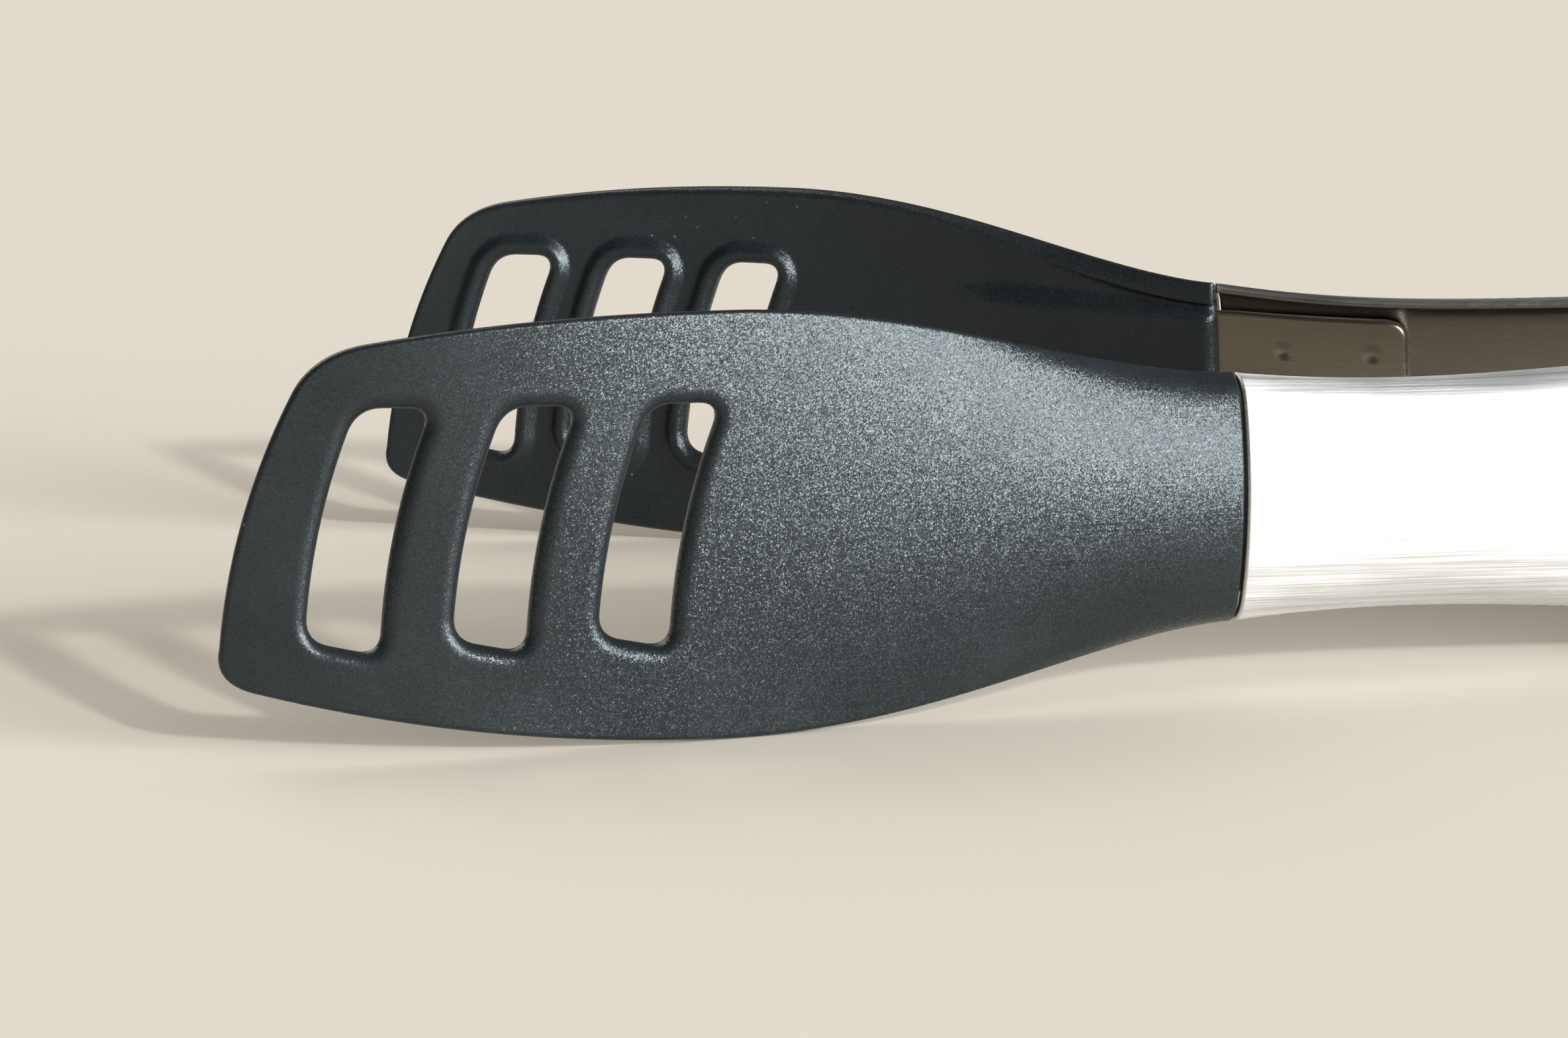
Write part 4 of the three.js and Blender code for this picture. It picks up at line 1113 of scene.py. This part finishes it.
def mouldedGrain():
    # the eroded skin of moulded nylon: facets that each lean their own way, a few of them bright, over soft
    # pits. A facet's normal is the surface's own plus a random step times the lean
    moulded = patterns["moulded"]
    group, given, out = newGroup("mouldedGrain", [
        ("Vector", "NodeSocketVector", None), ("Grains", "NodeSocketFloat", 8500),
        ("Share", "NodeSocketFloat", 0.8), ("Lean", "NodeSocketFloat", 0.5),
    ], [("Glint", "NodeSocketFloat"), ("Height", "NodeSocketFloat"), ("Normal", "NodeSocketVector")])
    cells = addNode(group, "ShaderNodeTexVoronoi", Randomness=1)
    pits = addNode(group, "ShaderNodeTexNoise",
                   Detail=moulded["pitDetail"], Roughness=moulded["pitRoughness"])
    for node, share in ((cells, 1), (pits, moulded["pitScale"])):
        group.links.new(given.outputs["Vector"], node.inputs["Vector"])
        group.links.new(maths(group, "MULTIPLY", given.outputs["Grains"], share), node.inputs["Scale"])
    step = addNode(group, "ShaderNodeVectorMath", operation="SUBTRACT")
    step.inputs[1].default_value = (0.5, 0.5, 0.5)
    lean = addNode(group, "ShaderNodeVectorMath", operation="SCALE")
    tilted = addNode(group, "ShaderNodeVectorMath", operation="ADD")
    upright = addNode(group, "ShaderNodeVectorMath", operation="NORMALIZE")
    surface = addNode(group, "ShaderNodeNewGeometry")
    parts = addNode(group, "ShaderNodeSeparateColor")
    for start, end in ((cells.outputs["Color"], step.inputs[0]), (step.outputs[0], lean.inputs[0]),
                       (given.outputs["Lean"], lean.inputs["Scale"]), (lean.outputs[0], tilted.inputs[0]),
                       (surface.outputs["Normal"], tilted.inputs[1]), (tilted.outputs[0], upright.inputs[0]),
                       (upright.outputs[0], out.inputs["Normal"]), (pits.outputs[0], out.inputs["Height"]),
                       (cells.outputs["Color"], parts.inputs[0])):
        group.links.new(start, end)
    bright = maths(group, "GREATER_THAN", parts.outputs[0], given.outputs["Share"])
    group.links.new(bright, out.inputs["Glint"])
    return group


def softWear():
    # slow changes left by handling and washing, and a scatter of fine dust
    worn = patterns["worn"]
    group, given, out = newGroup("softWear", [
        ("Vector", "NodeSocketVector", None), ("Scale", "NodeSocketFloat", 60),
    ], [("Smudge", "NodeSocketFloat"), ("Dust", "NodeSocketFloat")])
    slow = addNode(group, "ShaderNodeTexNoise", Detail=worn["detail"], Roughness=worn["roughness"])
    specks = addNode(group, "ShaderNodeTexVoronoi", Randomness=1)
    for node, share in ((slow, 1), (specks, worn["speckScale"])):
        group.links.new(given.outputs["Vector"], node.inputs["Vector"])
        group.links.new(maths(group, "MULTIPLY", given.outputs["Scale"], share), node.inputs["Scale"])
    group.links.new(spread(group, slow.outputs[0], *worn["smudge"], 0, 1), out.inputs["Smudge"])
    near = spread(group, specks.outputs["Distance"], *worn["speck"], 1, 0)
    settled = spread(group, slow.outputs[0], *worn["settled"], 0, 1)
    group.links.new(maths(group, "MULTIPLY", near, settled), out.inputs["Dust"])
    return group


grainOfSteel, grainOfNylon, wearOfAll = brushedGrain(), mouldedGrain(), softWear()


class Finish:
    # a material with one Principled shader and short ways to feed it
    def __init__(self, name, **constants):
        self.material = bpy.data.materials.new(name)
        self.material.use_nodes = True
        self.tree = self.material.node_tree
        self.shader = self.tree.nodes["Principled BSDF"]
        for label, value in constants.items():
            self.shader.inputs[label.replace("_", " ")].default_value = value
        coordinates = addNode(self.tree, "ShaderNodeTexCoord")
        self.place = coordinates.outputs["Object"]
        surface = addNode(self.tree, "ShaderNodeUVMap", uv_map="surface")
        self.surface = surface.outputs[0]

    def group(self, tree, vector, **values):
        # a shared group with this finish's own values, each of which is a socket or a number
        node = self.tree.nodes.new("ShaderNodeGroup")
        node.node_tree = tree
        self.tree.links.new(vector, node.inputs["Vector"])
        for label, value in values.items():
            if isinstance(value, bpy.types.NodeSocket):
                self.tree.links.new(value, node.inputs[label])
            else:
                node.inputs[label].default_value = value
        return node.outputs

    def feed(self, socket, value):
        self.tree.links.new(value, self.shader.inputs[socket])

    def bump(self, height, depth, below=None):
        # depth is the height of the relief in metres, and below is the normal that it lies on
        node = addNode(self.tree, "ShaderNodeBump", Strength=1, Distance=depth)
        self.tree.links.new(height, node.inputs["Height"])
        if below is not None:
            self.tree.links.new(below, node.inputs["Normal"])
        return node.outputs[0]


# the painted glint's colour, and the colour of dust
paintedGlintColour, dustColour = (0.5, 0.53, 0.52), (0.5, 0.5, 0.48)
rubs = {"lines": 2200, "stretch": 0.03, "tones": (0.5, 0.66), "polish": 0.08}


def nylonFinish(name, look):
    # a dark base that washing and dust make paler, with a painted glint on a few facets, over a leaning and
    # pitted grain
    finish = Finish(name, Specular_IOR_Level=look["gloss"], Specular_Tint=(*look["glossTint"], 1))
    wear = finish.group(wearOfAll, finish.place, Scale=look["wearScale"])
    tree = finish.tree
    split = addNode(tree, "ShaderNodeSeparateXYZ")
    tree.links.new(finish.surface, split.inputs[0])
    along = split.outputs[0]
    # use has worn the tip's grain smooth, so its facets lean less
    lean = spread(tree, along, *look["wornAlong"], *look["lean"])
    grain = finish.group(grainOfNylon, finish.place, Grains=look["grains"], Share=look["glintShare"],
                         Lean=lean)
    # fine rub marks along the neck fade out towards the blade
    marks = finish.group(grainOfSteel, finish.surface, Lines=rubs["lines"], Stretch=rubs["stretch"])
    nearSeam = spread(tree, along, *look["rubAlong"], 1, 0)
    rubbed = maths(tree, "MULTIPLY", spread(tree, marks["Tone"], *rubs["tones"], 0, 1), nearSeam)
    base = blendColour(tree, wear["Smudge"], look["colour"], look["washed"])
    # painted glint: the few glinting facets are painted a little paler, besides being made smoother
    base = blendColour(tree, maths(tree, "MULTIPLY", grain["Glint"], look["paintedGlint"]), base, paintedGlintColour)
    base = blendColour(tree, maths(tree, "MULTIPLY", wear["Dust"], look["dust"]), base, dustColour)
    finish.feed("Base Color", base)
    rough = maths(tree, "ADD", spread(tree, wear["Smudge"], 0, 1, *look["roughness"]),
                  maths(tree, "MULTIPLY", grain["Glint"], -look["glintPolish"]))
    rough = maths(tree, "ADD", rough, maths(tree, "MULTIPLY", rubbed, -rubs["polish"]), clamp=True)
    finish.feed("Roughness", rough)
    normal = finish.bump(grain["Height"], look["grainDepth"], below=grain["Normal"])
    finish.feed("Normal", finish.bump(rubbed, look["rubDepth"], below=normal))
    return finish.material


toneRange = (0.3, 0.7)  # the tones of brushed lines lie between these
innerFace = {"paintedShade": 0.7, "polish": 0.4}  # a sheet's inner face is painted darker, as painted shade, and is smoother


def steelFinish(name, look):
    # brushed lines vary the colour, the roughness and the height; a quarter turn spreads gloss across them
    finish = Finish(name, Metallic=1, Anisotropic=look["anisotropy"], Anisotropic_Rotation=0.25)
    tree = finish.tree
    grain = finish.group(grainOfSteel, finish.surface, Lines=look["lines"], Stretch=look["stretch"])
    wear = finish.group(wearOfAll, finish.place, Scale=look["wearScale"])
    tone = spread(tree, grain["Tone"], *toneRange, 0, 1)
    base = blendColour(tree, tone, look["dark"], look["light"])
    base = blendColour(tree, maths(tree, "MULTIPLY", wear["Smudge"], look["stain"]), base, look["stained"])
    inner = addNode(tree, "ShaderNodeAttribute", attribute_name="inner").outputs["Fac"]
    # painted shade: the inner face is mixed towards the inside colour
    base = blendColour(tree, maths(tree, "MULTIPLY", inner, innerFace["paintedShade"]), base, look["inside"])
    finish.feed("Base Color", base)
    rough = maths(tree, "ADD", spread(tree, grain["Tone"], *toneRange, *look["roughness"]),
                  maths(tree, "MULTIPLY", wear["Smudge"], look["smudge"]))
    left = maths(tree, "SUBTRACT", 1, maths(tree, "MULTIPLY", inner, innerFace["polish"]))
    finish.feed("Roughness", maths(tree, "MULTIPLY", rough, left))
    finish.feed("Normal", finish.bump(grain["Height"], look["grainDepth"]))
    if look["anisotropy"]:
        tangent = addNode(tree, "ShaderNodeTangent", direction_type="UV_MAP", uv_map="surface")
        tree.links.new(tangent.outputs[0], finish.shader.inputs["Tangent"])
    return finish.material


def rubberFinish(name, look):
    # a matt base over soft pits, a little paler where it is washed
    finish = Finish(name, Specular_IOR_Level=look["gloss"])
    tree = finish.tree
    grain = finish.group(grainOfNylon, finish.place, Grains=look["grains"])
    wear = finish.group(wearOfAll, finish.place, Scale=look["wearScale"])
    finish.feed("Base Color", blendColour(tree, wear["Smudge"], look["colour"], look["washed"]))
    finish.feed("Roughness", spread(tree, wear["Smudge"], 0, 1, *look["roughness"]))
    finish.feed("Normal", finish.bump(grain["Height"], look["grainDepth"]))
    return finish.material


# rubAlong and wornAlong are distances from the seam; unworn pieces have neither marks nor a worn tip
unworn = {"rubAlong": (0, 0.0001), "rubDepth": 0.000001, "wornAlong": (1, 2), "glossTint": (1, 1, 1)}
turnerNylon = nylonFinish("turnerNylon", {
    "colour": (0.005, 0.007, 0.0084), "washed": (0.008, 0.0105, 0.0122), "wearScale": 45, "dust": 0.2,
    "gloss": 0.44, "glossTint": (0.88, 0.98, 1.0), "roughness": (0.36, 0.41),
    "grains": 8500, "grainDepth": 0.000008, "lean": (0.36, 0.2), "wornAlong": (0.066, 0.092),
    "glintShare": 0.75, "paintedGlint": 0.009, "glintPolish": 0.09,
    "rubAlong": (0.012, 0.045), "rubDepth": 0.000006,
})
tabNylon = nylonFinish("tabNylon", {
    **unworn, "colour": (0.012, 0.013, 0.014), "washed": (0.017, 0.018, 0.019), "wearScale": 70, "dust": 0.15,
    "gloss": 0.5, "roughness": (0.42, 0.5), "grains": 6000, "grainDepth": 0.00001, "lean": (0.25, 0.25),
    "glintShare": 0.9, "paintedGlint": 0.01, "glintPolish": 0.08,
})
linerNylon = nylonFinish("linerNylon", {
    **unworn, "colour": (0.012, 0.013, 0.014), "washed": (0.018, 0.019, 0.02), "wearScale": 60, "dust": 0.2,
    "gloss": 0.45, "roughness": (0.5, 0.6), "grains": 5000, "grainDepth": 0.000012, "lean": (0.25, 0.25),
    "glintShare": 0.95, "paintedGlint": 0.01, "glintPolish": 0.05,
})
armSteel = steelFinish("armSteel", {
    "dark": (0.46, 0.46, 0.455), "light": (0.62, 0.62, 0.61), "stained": (0.58, 0.56, 0.51), "stain": 0.2,
    # inside is the painted shade on the inner face
    "inside": (0.14, 0.122, 0.09), "lines": 5200, "stretch": 0.01, "roughness": (0.34, 0.46),
    "smudge": 0.05, "wearScale": 40, "grainDepth": 0.0000045, "anisotropy": 0.78,
})
insertSteel = steelFinish("insertSteel", {
    "dark": (0.36, 0.335, 0.295), "light": (0.46, 0.435, 0.39), "stained": (0.34, 0.3, 0.24), "stain": 0.35,
    # inside is the painted shade on the inner face
    "inside": (0.22, 0.19, 0.145), "lines": 3800, "stretch": 0.03, "roughness": (0.42, 0.52),
    "smudge": 0.08, "wearScale": 70, "grainDepth": 0.000003, "anisotropy": 0.3,
})
hingeSteel = steelFinish("hingeSteel", {
    "dark": (0.5, 0.5, 0.49), "light": (0.68, 0.68, 0.67), "stained": (0.55, 0.52, 0.47), "stain": 0.25,
    "inside": (0.5, 0.5, 0.49), "lines": 2600, "stretch": 0.4, "roughness": (0.24, 0.38),
    "smudge": 0.08, "wearScale": 150, "grainDepth": 0.000004, "anisotropy": 0,
})
springSteel = steelFinish("springSteel", {
    "dark": (0.42, 0.42, 0.42), "light": (0.58, 0.58, 0.575), "stained": (0.45, 0.42, 0.38), "stain": 0.2,
    "inside": (0.5, 0.5, 0.5), "lines": 2200, "stretch": 0.2, "roughness": (0.18, 0.3),
    "smudge": 0.06, "wearScale": 200, "grainDepth": 0.000002, "anisotropy": 0,
})
gripRubber = rubberFinish("gripRubber", {
    "colour": (0.011, 0.0115, 0.012), "washed": (0.018, 0.0185, 0.019), "gloss": 0.35, "grains": 2600,
    "roughness": (0.62, 0.74), "grainDepth": 0.00002, "wearScale": 55,
})
print("finishes made")

for side in sides:
    makeArm(side, armSteel)
    makeInsert(side, insertSteel)
    makeHead(side, turnerNylon)
    makeGrip(side, gripRubber, linerNylon)
makeHinge(hingeSteel, springSteel)
makeStem(hingeSteel)
makeCrossPin(springSteel)
makeTab(tabNylon)


# azimuths are headings in degrees, anticlockwise from x; the camera's place is in the tongs' own frame
stage = {
    "floor": {"radius": 6, "sides": 96, "colour": (0.68, 0.63, 0.55), "roughness": 0.9, "gloss": 0.05},
    "sky": {"light": (1.0, 0.97, 0.92), "strength": 0.34, "bright": -25, "away": 0.25, "facing": (-0.3, 0.8),
            "overhead": 1.1, "overheadFrom": (0.4, 0.95),
            "shownLow": (0.78, 0.73, 0.66), "shownHigh": (0.28, 0.3, 0.33), "shownHeights": (0.08, 0.5)},
    "lampDistance": 2,
    "lamps": {
        "key": {"azimuth": -58, "elevation": 21.5, "strength": 2.0, "angle": 3,
                "colour": (1.0, 0.975, 0.935)},
        "side": {"azimuth": -37, "elevation": 5, "strength": 9, "angle": 38, "colour": (0.93, 0.965, 1.0)},
        "back": {"azimuth": 128, "elevation": 38, "strength": 1.05, "angle": 45,
                 "colour": (1.0, 0.98, 0.95)},
    },
    "camera": {"place": (-161.232, -651.38, 96.066), "yaw": -2.94, "pitch": 9.22, "roll": 0.07,
               "lens": 127.02, "sensor": 36, "clip": (0.01, 50)},
}


def makeFloor():
    plain = stage["floor"]
    angle = np.linspace(0, 2 * math.pi, plain["sides"], endpoint=False)
    rim = plain["radius"] * np.stack([np.cos(angle), np.sin(angle), 0 * angle], axis=-1)
    mesh = bpy.data.meshes.new("floor")
    mesh.from_pydata(rim.tolist(), [], [list(range(len(rim)))])
    floor = bpy.data.objects.new("floor", mesh)
    bpy.context.scene.collection.objects.link(floor)
    finish = bpy.data.materials.new("paleFloor")
    finish.use_nodes = True
    shader = finish.node_tree.nodes["Principled BSDF"]
    shader.inputs["Base Color"].default_value = (*plain["colour"], 1)
    shader.inputs["Roughness"].default_value = plain["roughness"]
    shader.inputs["Specular IOR Level"].default_value = plain["gloss"]
    mesh.materials.append(finish)


def makeSky():
    sky = stage["sky"]
    world = bpy.data.worlds.new("studio")
    bpy.context.scene.world = world
    world.use_nodes = True
    tree = world.node_tree
    tree.nodes.clear()
    light = addNode(tree, "ShaderNodeBackground", Color=(*sky["light"], 1))
    shown = addNode(tree, "ShaderNodeBackground")
    heading = addNode(tree, "ShaderNodeTexCoord")
    split = addNode(tree, "ShaderNodeSeparateXYZ")
    tree.links.new(heading.outputs["Generated"], split.inputs[0])
    # brighter towards one heading, as beside a window, and overhead
    bright = math.radians(sky["bright"])
    facing = maths(tree, "ADD", maths(tree, "MULTIPLY", split.outputs[0], math.cos(bright)),
                   maths(tree, "MULTIPLY", split.outputs[1], math.sin(bright)))
    facing = spread(tree, facing, *sky["facing"], sky["away"], 1)
    overhead = spread(tree, split.outputs[2], *sky["overheadFrom"], 0, sky["overhead"])
    strength = maths(tree, "MULTIPLY", maths(tree, "ADD", facing, overhead), sky["strength"])
    tree.links.new(strength, light.inputs["Strength"])
    tree.links.new(facing, shown.inputs["Strength"])
    height = spread(tree, split.outputs[2], *sky["shownHeights"], 0, 1)
    tree.links.new(blendColour(tree, height, sky["shownLow"], sky["shownHigh"]), shown.inputs["Color"])
    # the camera and reflections see the shown sky, and the rest is lit by the other
    path = addNode(tree, "ShaderNodeLightPath")
    seen = maths(tree, "MAXIMUM", path.outputs["Is Camera Ray"], path.outputs["Is Glossy Ray"])
    seen = maths(tree, "MAXIMUM", seen, path.outputs["Is Transmission Ray"])
    blend, out = addNode(tree, "ShaderNodeMixShader"), addNode(tree, "ShaderNodeOutputWorld")
    tree.links.new(seen, blend.inputs[0])
    tree.links.new(light.outputs[0], blend.inputs[1])
    tree.links.new(shown.outputs[0], blend.inputs[2])
    tree.links.new(blend.outputs[0], out.inputs[0])


def makeLamps():
    # distant lamps, of which only the heading and the angle they fill count
    for name, lamp in stage["lamps"].items():
        light = bpy.data.lights.new(name, "SUN")
        light.energy = lamp["strength"]
        light.angle = math.radians(lamp["angle"])
        light.color = lamp["colour"]
        azimuth, elevation = math.radians(lamp["azimuth"]), math.radians(lamp["elevation"])
        towards = Vector((math.cos(azimuth) * math.cos(elevation), math.sin(azimuth) * math.cos(elevation),
                          math.sin(elevation)))
        hung = bpy.data.objects.new(name, light)
        hung.rotation_euler = towards.to_track_quat("Z", "Y").to_euler()
        hung.location = towards * stage["lampDistance"]
        bpy.context.scene.collection.objects.link(hung)


def makeCamera():
    # yaw goes from y towards x, pitch downward, and roll lifts the camera's right side
    view = stage["camera"]
    yaw, pitch, roll = (math.radians(view[key]) for key in ("yaw", "pitch", "roll"))
    ahead = np.array([math.sin(yaw) * math.cos(pitch), math.cos(yaw) * math.cos(pitch), -math.sin(pitch)])
    level = np.array([math.cos(yaw), -math.sin(yaw), 0])
    upright = np.cross(level, ahead)
    across = math.cos(roll) * level + math.sin(roll) * upright
    upward = math.cos(roll) * upright - math.sin(roll) * level
    lens = bpy.data.cameras.new("camera")
    lens.lens, lens.sensor_width, lens.sensor_fit = view["lens"], view["sensor"], "HORIZONTAL"
    lens.clip_start, lens.clip_end = view["clip"]
    camera = bpy.data.objects.new("camera", lens)
    turned = np.eye(4)
    turned[:3, :3] = (np.stack([across, upward, -ahead]) @ tongsAxes).T
    turned[:3, 3] = toPart(np.array(view["place"]))
    camera.matrix_world = Matrix(turned.tolist())
    bpy.context.scene.collection.objects.link(camera)
    bpy.context.scene.camera = camera


makeFloor()
makeSky()
makeLamps()
makeCamera()
bpy.context.scene.view_settings.view_transform = "Standard"
print("stage made")
